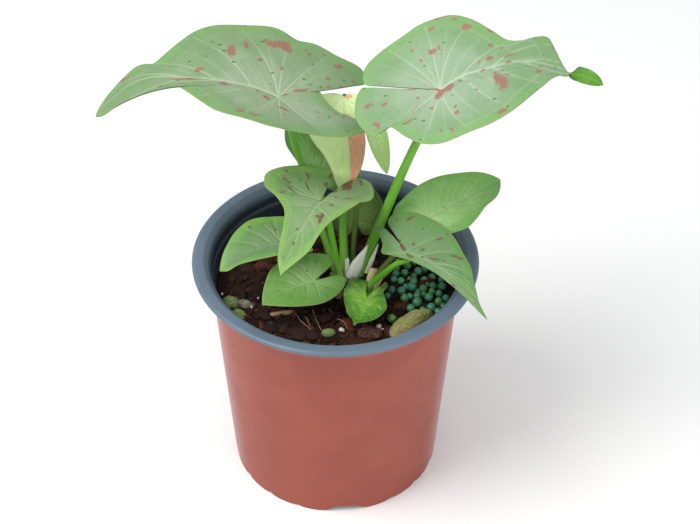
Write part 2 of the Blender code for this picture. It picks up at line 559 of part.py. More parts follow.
def make_shoot(name, finish):
    """crown with its stalks and sheaths, fused into one piece as they grow"""
    centre, radii = CROWNS[name]
    crown = ellipsoid(name, to_metres(np.array(centre)), [r * MM for r in radii], finish)
    parts = []
    for leaf_name, (points, foot, top, straight) in STALKS[name].items():
        blade = GRAIN[leaf_name]["blade"] / MM
        path = points + [tuple(p) for p in stalk_end(LEAVES[leaf_name], blade, top, straight)]
        samples = 6 + 2 * len(points)
        parts.append(tube("stalk", path, (foot / 2, top / 2), (foot / 2, top / 2), STALK_SIDES, samples))
    for points, wide, deep in SHEATHS[name]:
        parts.append(tube("sheath", points, wide, deep, STALK_SIDES, 5))
    cut_with(crown, parts, "UNION")
    crown.data.shade_smooth()
    crown.data.set_sharp_from_angle(angle=math.radians(50))
    return crown


# Stones, chips and grit on the soil: centre (mm), half sizes (mm), turn in degrees,
# roughness of the shape, seed.
STONES = {
    "mossy_stone_right": ((31.0, -28.0, -12.4), (10.6, 4.6, 4.2), 42, 0.12, 1),
    "mossy_pebble_left": ((-41.0, -15.8, -13.4), (3.2, 2.8, 2.6), 20, 0.12, 2),
    "mossy_pebble_front_left": ((-38.0, -22.2, -13.6), (3.3, 2.3, 2.3), -40, 0.12, 3),
    "grey_bark_chip": ((-33.6, -17.2, -13.2), (3.6, 1.8, 1.9), -20, 0.16, 4),
    "bark_splinter": ((-22.4, -21.4, -13.2), (6.2, 1.5, 1.2), 14, 0.12, 5),
    "green_pebble_front": ((-2.6, -33.4, -13.6), (2.9, 2.0, 1.7), 5, 0.14, 6),
    "brown_stone_front": ((14.2, -32.4, -14.0), (5.4, 3.4, 2.4), 12, 0.16, 7),
}
STONE_SINK = 0.45

# Slow-release fertiliser beads: centres on the soil in millimetres, and diameters.
BEAD_CENTRES = [
    (24.0, -7.5), (22.6, -10.8), (27.5, -0.5), (29.5, 5.0), (32.0, -4.5), (34.5, -9.5), (34.0, -14.0),
    (39.0, -11.0), (38.4, -16.8), (30.5, -16.4), (29.0, -11.5), (43.4, -3.6), (40.0, -2.6), (36.4, 0.6),
    (44.4, -11.8), (42.0, -14.8), (37.0, -5.6), (26.0, 3.0), (27.8, -6.4), (44.6, -7.6), (32.6, 1.0),
    (24.6, -3.2), (26.6, -14.6), (35.0, 4.6), (40.8, -7.2),
]
BEAD_RADII = (2.1, 1.85, 1.7, 2.0)
BEAD_BED = ((33.6, -6.4), (12.4, 12.6))
BEAD_BED_RISE = 0.9
BEAD_BED_THICKNESS = 2.1
BEAD_SINK = 0.125


def soil_level(x, y):
    """soil height over the rim in millimetres at a place in millimetres"""
    return float((soil_height(np.float64(x * MM), np.float64(y * MM)) - RIM_TOP) / MM)


def stone_shape(name, finish, swell=0.0, flat_below=None):
    """rounded stone with low seeded bumps, grown all round by swell"""
    centre, half, turn, rough, seed = STONES[name]
    grown = [h + swell for h in half]
    stone = ellipsoid(name, (0, 0, 0), (1, 1, 1), finish, segments=10, rings=7)
    rng = np.random.default_rng(seed)
    ways = rng.normal(size=(5, 3))
    phases = rng.uniform(0, 2 * math.pi, 5)
    base = np.array([v.co[:] for v in stone.data.vertices])
    bump = np.sin(base @ (ways * 1.6).T + phases).sum(1) / 5
    points = base * (1 + rough * bump)[:, None] * np.array(grown)
    spin = math.radians(turn)
    x = points[:, 0] * math.cos(spin) - points[:, 1] * math.sin(spin)
    y = points[:, 0] * math.sin(spin) + points[:, 1] * math.cos(spin)
    level = soil_level(centre[0], centre[1]) + half[2] * (1 - 2 * STONE_SINK)
    place = to_metres(np.stack([x + centre[0], y + centre[1], points[:, 2] + level], 1))
    for vert, spot in zip(stone.data.vertices, place):
        vert.co = spot
    return stone


def make_beads(finish):
    """round beads fused on a thin bed, so that the heap is one piece"""
    (x, y), (wide, deep) = BEAD_BED
    top = soil_level(x, y) + BEAD_BED_RISE
    low = to_metres(np.array([0.0, 0.0, top - BEAD_BED_THICKNESS]))[2]
    high = to_metres(np.array([0.0, 0.0, top]))[2]
    bed = post("fertiliser_beads", (x * MM, y * MM), 1.0, low, high, 28, (wide * MM, deep * MM))
    bed.data.materials.append(finish)
    balls = []
    for i, (bx, by) in enumerate(BEAD_CENTRES):
        radius = BEAD_RADII[i % len(BEAD_RADII)]
        centre = to_metres(np.array([bx, by, top + radius * (1 - 2 * BEAD_SINK)]))
        balls.append(ellipsoid("bead", centre, [radius * MM] * 3, None, segments=7, rings=5))
    cut_with(bed, balls, "UNION")
    bed.data.shade_smooth()
    bed.data.set_sharp_from_angle(angle=math.radians(60))
    return bed


def bed_recess():
    (x, y), (wide, deep) = BEAD_BED
    low = to_metres(np.array([0.0, 0.0, soil_level(x, y) + BEAD_BED_RISE - BEAD_BED_THICKNESS]))[2] - GAP
    return post("recess", (x * MM, y * MM), 1.0, low, RIM_TOP, 28, (wide * MM + GAP, deep * MM + GAP))


def crown_hole(name):
    """plain upright hole that the crown stands in"""
    (x, y, z), (wide, deep, tall) = CROWNS[name]
    low = to_metres(np.array([0.0, 0.0, z - tall]))[2] - GAP
    return post("hole", (x * MM, y * MM), 1.0, low, RIM_TOP, 20,
                ((wide * MM + GAP) * 1.012, (deep * MM + GAP) * 1.012))


def build():
    clear_scene()
    terracotta = material("terracotta polypropylene", "AB5947", 0.45)
    potting = material("peat and bark potting soil", "2E1A12", 0.95)
    shoot = material("arrowhead vine stalk", "4E9B1F", 0.45)
    stone = material("mossy tan stone", "8C8458", 0.9)
    bark = material("weathered bark", "6B5A48", 0.9)
    beads = material("resin coated fertiliser bead", "2F7D54", 0.35)
    pale = material("arrowhead leaf pale", "93B884", 0.5)
    bright = material("arrowhead leaf green", "6FA84F", 0.45)
    finishes = {
        "leaf_right": bright,
        "leaf_low_left": bright,
        "leaf_low_front": bright,
        "leaf_shaded": bright,
        "leaf_back_left": bright,
    }
    make_pot(terracotta)
    for name in LEAVES:
        make_leaf(name, finishes.get(name, pale))
    for name in STALKS:
        make_shoot(name, shoot)
    cutters = [crown_hole(name) for name in CROWNS]
    cutters.append(bed_recess())
    for name in STONES:
        stone_shape(name, bark if "bark" in name else stone)
        cutters.append(stone_shape(name, None, swell=0.4))
    make_beads(beads)
    make_soil(potting, cutters)


build()
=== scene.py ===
# A young arrowhead vine with mottled leaves in a two-coloured plastic nursery pot.
# Metres, +Z up; the front is at -Y. The plant's own lists are in millimetres, and their
# heights are measured from the top of the pot's rim.
import math
from functools import partial

import bpy
import numpy as np
from mathutils import Matrix, Vector


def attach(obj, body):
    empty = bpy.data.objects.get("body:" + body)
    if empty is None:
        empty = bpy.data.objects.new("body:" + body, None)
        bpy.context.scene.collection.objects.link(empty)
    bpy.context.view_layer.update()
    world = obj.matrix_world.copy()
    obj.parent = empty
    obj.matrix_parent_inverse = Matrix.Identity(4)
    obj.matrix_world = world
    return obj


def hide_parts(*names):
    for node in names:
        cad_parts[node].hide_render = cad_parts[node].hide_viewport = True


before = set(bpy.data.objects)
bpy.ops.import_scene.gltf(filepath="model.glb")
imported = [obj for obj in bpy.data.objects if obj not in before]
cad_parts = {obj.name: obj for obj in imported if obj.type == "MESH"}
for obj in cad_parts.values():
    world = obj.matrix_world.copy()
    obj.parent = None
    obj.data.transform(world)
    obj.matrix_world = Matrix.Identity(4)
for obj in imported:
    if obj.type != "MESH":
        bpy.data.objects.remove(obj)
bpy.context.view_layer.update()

MM = 0.001
RIM_TOP = 0.1093

# ---------------------------------------------------------------- camera of the photograph
EYE_DISTANCE = 710.16
EYE_TILT = math.radians(40.69)
EYE_ROLL = math.radians(-0.43)
EYE_SIDE = 6.06
EYE_UP = 3.06
FOCAL_PIXELS = 1700.0
PHOTO_WIDTH = 700
SENSOR = 36.0


def add_camera():
    """looks down at the middle of the rim from the front, with the photograph's framing"""
    ahead = Vector((0, math.cos(EYE_TILT), -math.sin(EYE_TILT)))
    up = Vector((0, math.sin(EYE_TILT), math.cos(EYE_TILT)))
    right = Vector((1, 0, 0))
    target = Vector((0, 0, RIM_TOP))
    place = target + (right * EYE_SIDE - up * EYE_UP - ahead * EYE_DISTANCE) * MM
    turn = Matrix.Rotation(EYE_ROLL, 3, ahead)
    right, up = turn @ right, turn @ up
    lens = bpy.data.cameras.new("camera")
    lens.sensor_width = SENSOR
    lens.lens = FOCAL_PIXELS * SENSOR / PHOTO_WIDTH
    lens.clip_start = 0.01
    seat = bpy.data.objects.new("camera", lens)
    seat.matrix_world = Matrix.Translation(place) @ Matrix([right, up, -ahead]).transposed().to_4x4()
    bpy.context.scene.collection.objects.link(seat)
    bpy.context.scene.camera = seat


# ---------------------------------------------------------------- meshes
def new_piece(name, verts, faces, finishes, face_finish=None, fields=None, maps=None):
    """smooth mesh object from whole arrays; fields are numbers or colours kept at its points,
    maps are flat coordinates of its points"""
    mesh = bpy.data.meshes.new(name)
    mesh.from_pydata(verts, [], faces)
    for finish in finishes:
        mesh.materials.append(finish)
    if face_finish is not None:
        mesh.polygons.foreach_set("material_index", np.asarray(face_finish, np.int32))
    for label, values in (fields or {}).items():
        values = np.asarray(values, np.float32)
        if values.ndim == 1:
            mesh.attributes.new(label, "FLOAT", "POINT").data.foreach_set("value", values)
        else:
            colour = np.hstack([values, np.ones((len(values), 1), np.float32)])
            mesh.attributes.new(label, "FLOAT_COLOR", "POINT").data.foreach_set("color", colour.ravel())
    corner = np.empty(len(mesh.loops), np.int32)
    mesh.loops.foreach_get("vertex_index", corner)
    for label, values in (maps or {}).items():
        mesh.uv_layers.new(name=label).data.foreach_set("uv", np.asarray(values, np.float32)[corner].ravel())
    mesh.shade_smooth()
    made = bpy.data.objects.new(name, mesh)
    bpy.context.scene.collection.objects.link(made)
    return made


def place(piece, node, slot=None):
    """the piece rides on the plant's one body and stands for a node of the model"""
    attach(piece, "root")
    if node:
        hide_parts(node)


def grid_faces(rows, columns, closed=True):
    """quads between the points of a grid, row by row; closed joins the last column to the first"""
    row = np.arange(rows - 1)[:, None] * columns
    column = np.arange(columns if closed else columns - 1)[None, :]
    after = (column + 1) % columns
    quads = np.stack([row + column, row + after, row + columns + after, row + columns + column], -1)
    return quads.reshape(-1, 4)


def to_metres(points):
    return np.asarray(points) * MM + np.array([0.0, 0.0, RIM_TOP])


def through(points, count):
    """centripetal Catmull-Rom curve through points, count of them evenly spaced along it"""
    points = np.asarray(points, float)
    ends = np.vstack([2 * points[0] - points[1], points, 2 * points[-1] - points[-2]])
    fine = []
    for i in range(len(points) - 1):
        p0, p1, p2, p3 = ends[i:i + 4]
        t0 = 0.0
        t1 = t0 + max(np.linalg.norm(p1 - p0), 1e-6) ** 0.5
        t2 = t1 + max(np.linalg.norm(p2 - p1), 1e-6) ** 0.5
        t3 = t2 + max(np.linalg.norm(p3 - p2), 1e-6) ** 0.5
        t = np.linspace(t1, t2, 24, endpoint=False)[:, None]
        a1 = (t1 - t) / (t1 - t0) * p0 + (t - t0) / (t1 - t0) * p1
        a2 = (t2 - t) / (t2 - t1) * p1 + (t - t1) / (t2 - t1) * p2
        a3 = (t3 - t) / (t3 - t2) * p2 + (t - t2) / (t3 - t2) * p3
        b1 = (t2 - t) / (t2 - t0) * a1 + (t - t0) / (t2 - t0) * a2
        b2 = (t3 - t) / (t3 - t1) * a2 + (t - t1) / (t3 - t1) * a3
        fine.append((t2 - t) / (t2 - t1) * b1 + (t - t1) / (t2 - t1) * b2)
    fine = np.vstack(fine + [points[-1:]])
    run = np.concatenate([[0.0], np.cumsum(np.linalg.norm(np.diff(fine, axis=0), axis=1))])
    wanted = np.linspace(0.0, run[-1], count)
    return np.stack([np.interp(wanted, run, fine[:, i]) for i in range(fine.shape[1])], 1)


def cloudy(x, y, size, seed):
    """smooth random field from -1 to 1: random values on a square lattice of the given size,
    blended between the lattice points with an S-shaped weight"""
    values = np.random.default_rng(seed).uniform(-1, 1, (64, 64))
    u, v = np.asarray(x) / size, np.asarray(y) / size
    i, j = np.floor(u).astype(int), np.floor(v).astype(int)
    s, t = u - i, v - j
    s, t = s * s * (3 - 2 * s), t * t * (3 - 2 * t)
    i0, i1, j0, j1 = i % 64, (i + 1) % 64, j % 64, (j + 1) % 64
    low = values[i0, j0] * (1 - s) + values[i1, j0] * s
    high = values[i0, j1] * (1 - s) + values[i1, j1] * s
    return low * (1 - t) + high * t


def rough_field(x, y, size, seed, octaves=4):
    """several cloudy fields, each half the size and half the height of the one before"""
    total = 0.0
    for k in range(octaves):
        total = total + cloudy(x + 31.7 * k, y - 17.3 * k, size / 2 ** k, seed + k) / 2 ** k
    return total / 1.6


# ---------------------------------------------------------------- materials
def srgb(colour):
    """linear colour from an sRGB hex value"""
    parts = [int(colour[i:i + 2], 16) / 255 for i in (0, 2, 4)]
    return [c / 12.92 if c <= 0.04045 else ((c + 0.055) / 1.055) ** 2.4 for c in parts] + [1.0]


def new_material(name, **sockets):
    """Principled material with settings put straight on its sockets"""
    made = bpy.data.materials.new(name)
    made.use_nodes = True
    shader = made.node_tree.nodes["Principled BSDF"]
    for socket, value in sockets.items():
        shader.inputs[socket.replace("_", " ")].default_value = value
    return made, shader


def set_inputs(finish, made, inputs):
    """gives a node's inputs, by name or as i and a number, as sockets to join or as values"""
    for key, value in inputs.items():
        key = key.replace("_", " ")
        socket = made.inputs[int(key[1:])] if key[1:].isdigit() else made.inputs[key]
        if isinstance(value, bpy.types.NodeSocket):
            finish.node_tree.links.new(value, socket)
        else:
            socket.default_value = value


def node(finish, kind, settings=None, out=0, **inputs):
    """adds a node with its settings and links, and returns one of its outputs"""
    made = finish.node_tree.nodes.new("ShaderNode" + kind)
    for key, value in (settings or {}).items():
        setattr(made, key, value)
    set_inputs(finish, made, inputs)
    return made.outputs[out]


# Settings that many nodes share.
COLOURS = {"data_type": "RGBA"}
SMOOTH = {"interpolation_type": "SMOOTHSTEP"}
ADD = {"operation": "ADD"}
TIMES = {"operation": "MULTIPLY"}
TIMES_PLUS = {"operation": "MULTIPLY_ADD"}
# Millimetres in one unit of Object coordinates, and of a piece's own flat map. A pattern's
# scale is one of these over the size of its lumps in millimetres.
OBJECT_MM = 1000.0
FLAT_MM = 100.0


def leaf_finish(name, pale, green, margin, vein, fleck, gloss, rib_share, speck_share):
    """Living leaf with a thin wax bloom: satin, cloudy green that freshens to the margin, paler
    sunken veins, ragged flecks of dusty pink, and a peppering of small dark specks"""
    finish, shader = new_material(name, Roughness=gloss, IOR=1.42, Subsurface_Weight=0.05,
                                  Subsurface_Radius=(0.4, 1.0, 0.2), Subsurface_Scale=0.0008)
    add = partial(node, finish)
    flat = add("UVMap", {"uv_map": "flat"})
    ribs, blot, rim, heart = (add("Attribute", {"attribute_name": label}, "Fac")
                              for label in ("ribs", "blot", "rim", "heart"))
    clouds = add("TexNoise", Vector=flat, Scale=FLAT_MM / 14, Detail=4, Roughness=0.6)
    grain = add("TexNoise", Vector=flat, Scale=FLAT_MM / 1.2, Detail=3, Roughness=0.6)
    tone = add("Math", ADD, i0=clouds, i1=heart)
    share = add("MapRange", SMOOTH, i0=tone, i1=0.30, i2=1.0)
    colour = add("Mix", COLOURS, 2, i0=share, i6=srgb(green), i7=srgb(pale))
    inward = add("Math", TIMES_PLUS, i0=clouds, i1=14.0, i2=-7.0)
    inward = add("Math", ADD, i0=inward, i1=rim)
    share = add("MapRange", SMOOTH, i0=inward, i1=7.0, i2=0.0, i4=0.8)
    colour = add("Mix", COLOURS, 2, i0=share, i6=colour, i7=srgb(margin))
    share = add("MapRange", SMOOTH, i0=grain, i1=0.50, i2=0.80, i4=0.35)
    colour = add("Mix", COLOURS, 2, i0=share, i6=colour, i7=srgb(margin))
    share = add("Math", TIMES, i0=ribs, i1=rib_share)
    colour = add("Mix", COLOURS, 2, i0=share, i6=colour, i7=srgb(vein))
    drawn_out = add("Mapping", Vector=flat, Rotation=(0.0, 0.0, 0.4), Scale=(0.75, 1.35, 1.0))
    for cell_mm, fewest, widest, part in ((2.9, 0.40, 0.23, 1.0), (1.7, 0.62, 0.20, 0.7)):
        gap = add("TexVoronoi", Vector=drawn_out, Scale=FLAT_MM / cell_mm)
        pick = add("SeparateColor", Color=gap.node.outputs["Color"])
        size = add("MapRange", i0=pick, i1=fewest, i2=1.0, i3=-0.10, i4=widest)
        inside = add("Math", {"operation": "SUBTRACT"}, i0=size, i1=gap)
        inside = add("Math", TIMES_PLUS, i0=grain, i1=0.25, i2=inside)
        dot = add("MapRange", SMOOTH, i0=inside, i1=0.11, i2=0.17, i4=speck_share * part)
        brown = add("MapRange", SMOOTH, i0=pick.node.outputs[1], i1=0.66, i2=0.72)
        shade = add("Mix", COLOURS, 2, i0=brown, i6=srgb("3E5A34"), i7=srgb("7A5044"))
        colour = add("Mix", COLOURS, 2, i0=dot, i6=colour, i7=shade)
    ragged = add("TexNoise", Vector=flat, Scale=FLAT_MM / 2.6, Detail=3, Roughness=0.6)
    patch = add("Math", TIMES_PLUS, i0=ragged, i1=1.3, i2=blot)
    patch = add("MapRange", SMOOTH, i0=patch, i1=1.04, i2=1.18, i4=0.9)
    share = add("MapRange", SMOOTH, i0=grain, i1=0.45, i2=0.70, i4=0.35)
    fleck_colour = add("Mix", COLOURS, 2, i0=share, i6=srgb(fleck), i7=srgb("8A6253"))
    colour = add("Mix", COLOURS, 2, i0=patch, i6=colour, i7=fleck_colour)
    edge = add("MapRange", SMOOTH, i0=rim, i1=0.7, i2=0.1, i4=0.28)
    colour = add("Mix", COLOURS, 2, i0=edge, i6=colour, i7=srgb("A58A78"))
    fine = add("TexNoise", Vector=flat, Scale=FLAT_MM / 0.8, Detail=3, Roughness=0.6)
    relief = add("Math", TIMES_PLUS, i0=ribs, i1=-1.6, i2=fine)
    normal = add("Bump", Height=relief, Strength=1.0, Distance=0.14 * MM)
    set_inputs(finish, shader, {"Base Color": colour, "Normal": normal})
    return finish


def underside_finish(name, main, deep, vein, gloss):
    """Leaf's lower face: plain matt green with raised, paler ribs"""
    finish, shader = new_material(name, Roughness=gloss, IOR=1.42, Subsurface_Weight=0.05,
                                  Subsurface_Radius=(0.4, 1.0, 0.2), Subsurface_Scale=0.0008)
    add = partial(node, finish)
    flat = add("UVMap", {"uv_map": "flat"})
    ribs = add("Attribute", {"attribute_name": "ribs"}, "Fac")
    clouds = add("TexNoise", Vector=flat, Scale=FLAT_MM / 8, Detail=4, Roughness=0.6)
    share = add("MapRange", SMOOTH, i0=clouds, i1=0.3, i2=0.7)
    colour = add("Mix", COLOURS, 2, i0=share, i6=srgb(main), i7=srgb(deep))
    share = add("Math", TIMES, i0=ribs, i1=0.6)
    colour = add("Mix", COLOURS, 2, i0=share, i6=colour, i7=srgb(vein))
    fine = add("TexNoise", Vector=flat, Scale=FLAT_MM / 0.8, Detail=3, Roughness=0.6)
    relief = add("Math", ADD, i0=ribs, i1=fine)
    normal = add("Bump", Height=relief, Strength=1.0, Distance=0.12 * MM)
    set_inputs(finish, shader, {"Base Color": colour, "Normal": normal})
    return finish


# Colours of each leaf's upper face: pale heart, body green, margin, veins, flecks, roughness,
# and how much the veins and the dark specks show.
LEAF_LOOKS = {
    "leaf_upper_left": ("8EA083", "6E8C5F", "6F9B58", "C6D2B6", "8E6356", 0.48, 0.42, 0.85),
    "leaf_upper_right": ("95AA8F", "76986A", "77A45E", "D6E0CA", "99695C", 0.48, 0.50, 0.8),
    "leaf_middle": ("8DA67C", "72955B", "83B052", "BED3A4", "6E4C3C", 0.46, 0.38, 0.6),
    "leaf_left": ("789569", "608650", "72A848", "A2BA8C", "6E4C3C", 0.46, 0.34, 0.4),
    "leaf_low_left": ("85A66A", "618E42", "5F8F3E", "A6C484", "5E4A2C", 0.44, 0.30, 0.5),
    "leaf_low_front": ("90C250", "5A942A", "3F7A1C", "A9D269", "5A6A28", 0.24, 0.30, 0.0),
    "leaf_right": ("9CC47E", "72A756", "6BA24C", "C4BE98", "8A6A50", 0.40, 0.46, 0.5),
    "leaf_front_right": ("74926A", "5D824C", "5B8A44", "9EB688", "6E4C3C", 0.46, 0.32, 0.8),
    # leaf_centre: its own pale lime and pink flecks, lightened further as painted light where the leaves above shade
    # it.
    "leaf_centre": ("E4F6BC", "CDEC9A", "DCEEB4", "EAF4CC", "EFA38C", 0.42, 0.15, 0.12),
    "leaf_hanging_bud": ("CFE6A6", "B2D282", "A2CA72", "D3E4B6", "9A6A58", 0.42, 0.20, 0.3),
    "leaf_shaded": ("7C9848", "4E7028", "466628", "8FA862", "6A5A34", 0.5, 0.25, 0.4),
    "leaf_back_left": ("A9D082", "76B052", "629A42", "B8DA94", "6A5A34", 0.42, 0.35, 0.4),
}


def stalk_finish():
    """Smooth fleshy stalk: vivid green, paler at its foot, with fine lengthwise lines; the
    oldest stalks have turned olive brown"""
    finish, shader = new_material("fleshy green stalk", Roughness=0.36, IOR=1.42, Subsurface_Weight=0.08,
                                  Subsurface_Radius=(0.4, 1.0, 0.2), Subsurface_Scale=0.001)
    add = partial(node, finish)
    flat = add("UVMap", {"uv_map": "flat"})
    age = add("Attribute", {"attribute_name": "age"}, "Fac")
    rise = add("SeparateXYZ", Vector=flat)
    stretch = add("Mapping", Vector=flat, Scale=(0.12, 3.0, 1.0))
    lines = add("TexNoise", Vector=stretch, Scale=FLAT_MM, Detail=3, Roughness=0.6)
    share = add("MapRange", SMOOTH, i0=rise, i1=0.0, i2=0.16)
    colour = add("Mix", COLOURS, 2, i0=share, i6=srgb("9AC264"), i7=srgb("5B9C1E"))
    share = add("MapRange", SMOOTH, i0=rise, i1=0.25, i2=0.75)
    colour = add("Mix", COLOURS, 2, i0=share, i6=colour, i7=srgb("6AAA38"))
    share = add("MapRange", SMOOTH, i0=lines, i1=0.40, i2=0.72, i4=0.45)
    colour = add("Mix", COLOURS, 2, i0=share, i6=colour, i7=srgb("8CC452"))
    colour = add("Mix", COLOURS, 2, i0=age, i6=colour, i7=srgb("4E4A1E"))
    normal = add("Bump", Height=lines, Strength=1.0, Distance=0.08 * MM)
    set_inputs(finish, shader, {"Base Color": colour, "Normal": normal})
    return finish


def sheath_finish(name, centre, margin, roughness):
    """Papery leaf sheath: fresher at its middle, drying to a pale skin at its margins, and
    streaked along its length"""
    finish, shader = new_material(name, Roughness=roughness, IOR=1.4, Subsurface_Weight=0.1,
                                  Subsurface_Radius=(0.6, 1.0, 0.4), Subsurface_Scale=0.001)
    add = partial(node, finish)
    flat = add("UVMap", {"uv_map": "flat"})
    side = add("Attribute", {"attribute_name": "side"}, "Fac")
    stretch = add("Mapping", Vector=flat, Scale=(0.1, 2.5, 1.0))
    streaks = add("TexNoise", Vector=stretch, Scale=FLAT_MM / 0.8, Detail=4, Roughness=0.65)
    share = add("MapRange", SMOOTH, i0=side, i1=0.15, i2=0.9)
    colour = add("Mix", COLOURS, 2, i0=share, i6=srgb(centre), i7=srgb(margin))
    share = add("MapRange", SMOOTH, i0=streaks, i1=0.50, i2=0.75, i4=0.4)
    colour = add("Mix", COLOURS, 2, i0=share, i6=colour, i7=srgb("9A9478"))
    normal = add("Bump", Height=streaks, Strength=1.0, Distance=0.15 * MM)
    set_inputs(finish, shader, {"Base Color": colour, "Normal": normal})
    return finish


def pot_finish(name, main, worn, dust, painted_sheen, roughness, shade=None):
    """Injection moulded polypropylene: satin, faintly mottled, with rubbed scratches and a little
    dried soil dust; painted sheen lightens it where it curves away, and shade, a painted shade, darkens it below the
    lip"""
    finish, shader = new_material(name, IOR=1.49)
    add = partial(node, finish)
    where = add("TexCoord", None, "Object")
    mottle = add("TexNoise", Vector=where, Scale=OBJECT_MM / 22, Detail=2, Roughness=0.5)
    spots = add("TexNoise", Vector=where, Scale=OBJECT_MM / 0.9, Detail=2, Roughness=0.5)
    wide = add("Mapping", Vector=where, Scale=(1.0, 1.0, 9.0))
    rubs = add("TexNoise", Vector=wide, Scale=OBJECT_MM / 12, Detail=5, Roughness=0.75)
    share = add("MapRange", SMOOTH, i0=mottle, i1=0.35, i2=0.7)
    colour = add("Mix", COLOURS, 2, i0=share, i6=srgb(main), i7=srgb(worn))
    share = add("MapRange", SMOOTH, i0=rubs, i1=0.66, i2=0.76, i4=0.14)
    colour = add("Mix", COLOURS, 2, i0=share, i6=colour, i7=srgb(dust))
    share = add("MapRange", SMOOTH, i0=spots, i1=0.70, i2=0.78, i4=0.4)
    colour = add("Mix", COLOURS, 2, i0=share, i6=colour, i7=srgb(dust))
    # Painted sheen: a pale colour mixed in where the surface turns away from the view, standing in for the reflection
    # of the bright room at the edges.
    away = add("LayerWeight", None, "Facing", Blend=0.5)
    share = add("MapRange", SMOOTH, i0=away, i1=0.70, i2=1.0, i4=0.6)
    colour = add("Mix", COLOURS, 2, i0=share, i6=colour, i7=srgb(painted_sheen))
    # Painted shade: below the lip the colour is darkened towards the shade colour, standing in for the shade inside the
    # pot.
    if shade:
        height = add("SeparateXYZ", None, "Z", Vector=where)
        share = add("MapRange", SMOOTH, i0=height, i1=RIM_TOP - 1.2 * MM, i2=RIM_TOP - 6.0 * MM, i4=0.85)
        colour = add("Mix", COLOURS, 2, i0=share, i6=colour, i7=srgb(shade))
    gloss = add("MapRange", SMOOTH, i0=rubs, i1=0.3, i2=0.75, i3=roughness, i4=roughness + 0.14)
    fine = add("TexNoise", Vector=where, Scale=OBJECT_MM / 0.5, Detail=2, Roughness=0.5)
    normal = add("Bump", Height=fine, Strength=1.0, Distance=0.015 * MM)
    set_inputs(finish, shader, {"Base Color": colour, "Roughness": gloss, "Normal": normal})
    return finish


def soil_finish():
    """Damp peat and bark: near black red-brown, with lighter fibres and dry crumbs"""
    finish, shader = new_material("damp peat and bark", Roughness=0.7, IOR=1.45, Specular_IOR_Level=0.25)
    add = partial(node, finish)
    where = add("TexCoord", None, "Object")
    tint = add("Attribute", {"attribute_name": "tint"}, "Color")
    patches = add("TexNoise", Vector=where, Scale=OBJECT_MM / 5, Detail=5, Roughness=0.7)
    grit = add("TexNoise", Vector=where, Scale=OBJECT_MM / 0.8, Detail=4, Roughness=0.7)
    share = add("MapRange", SMOOTH, i0=patches, i1=0.3, i2=0.7)
    colour = add("Mix", COLOURS, 2, i0=share, i6=srgb("150A05"), i7=srgb("341A0C"))
    colour = add("Mix", {"data_type": "RGBA", "blend_type": "MULTIPLY"}, 2, i0=0.75, i6=colour, i7=tint)
    share = add("MapRange", SMOOTH, i0=grit, i1=0.60, i2=0.80, i4=0.35)
    colour = add("Mix", COLOURS, 2, i0=share, i6=colour, i7=srgb("6A4028"))
    relief = add("Math", ADD, i0=grit, i1=patches)
    normal = add("Bump", Height=relief, Strength=1.0, Distance=0.7 * MM)
    set_inputs(finish, shader, {"Base Color": colour, "Normal": normal})
    return finish


def tinted_finish(name, roughness, coat, shine, dark, grain_mm, bump_mm):
    """surface whose own colour is kept at its points, with darker grain over it"""
    finish, shader = new_material(name, Roughness=roughness, IOR=1.5, Coat_Weight=coat, Coat_Roughness=0.2,
                                  Specular_IOR_Level=shine)
    add = partial(node, finish)
    where = add("TexCoord", None, "Object")
    tint = add("Attribute", {"attribute_name": "tint"}, "Color")
    grain = add("TexNoise", Vector=where, Scale=OBJECT_MM / grain_mm, Detail=4, Roughness=0.65)
    share = add("MapRange", SMOOTH, i0=grain, i1=0.42, i2=0.72, i4=0.65)
    colour = add("Mix", COLOURS, 2, i0=share, i6=tint, i7=srgb(dark))
    normal = add("Bump", Height=grain, Strength=1.0, Distance=bump_mm * MM)
    set_inputs(finish, shader, {"Base Color": colour, "Normal": normal})
    return finish


def mossy_finish(name, bare, moss, dark):
    """Rough stone with dry moss: tan where bare, olive in patches, pitted with dark grains"""
    finish, shader = new_material(name, Roughness=0.88)
    add = partial(node, finish)
    where = add("TexCoord", None, "Object")
    patches = add("TexNoise", Vector=where, Scale=OBJECT_MM / 3.2, Detail=5, Roughness=0.7)
    grains = add("TexNoise", Vector=where, Scale=OBJECT_MM / 0.7, Detail=3, Roughness=0.7)
    pits = add("TexVoronoi", Vector=where, Scale=OBJECT_MM / 1.1)
    share = add("MapRange", SMOOTH, i0=patches, i1=0.40, i2=0.62)
    colour = add("Mix", COLOURS, 2, i0=share, i6=srgb(bare), i7=srgb(moss))
    share = add("MapRange", SMOOTH, i0=grains, i1=0.50, i2=0.68, i4=0.8)
    colour = add("Mix", COLOURS, 2, i0=share, i6=colour, i7=srgb(dark))
    share = add("MapRange", SMOOTH, i0=pits, i1=0.35, i2=0.1, i4=0.35)
    colour = add("Mix", COLOURS, 2, i0=share, i6=colour, i7=srgb("C9C08C"))
    relief = add("Math", ADD, i0=grains, i1=patches)
    normal = add("Bump", Height=relief, Strength=1.0, Distance=0.6 * MM)
    set_inputs(finish, shader, {"Base Color": colour, "Normal": normal})
    return finish


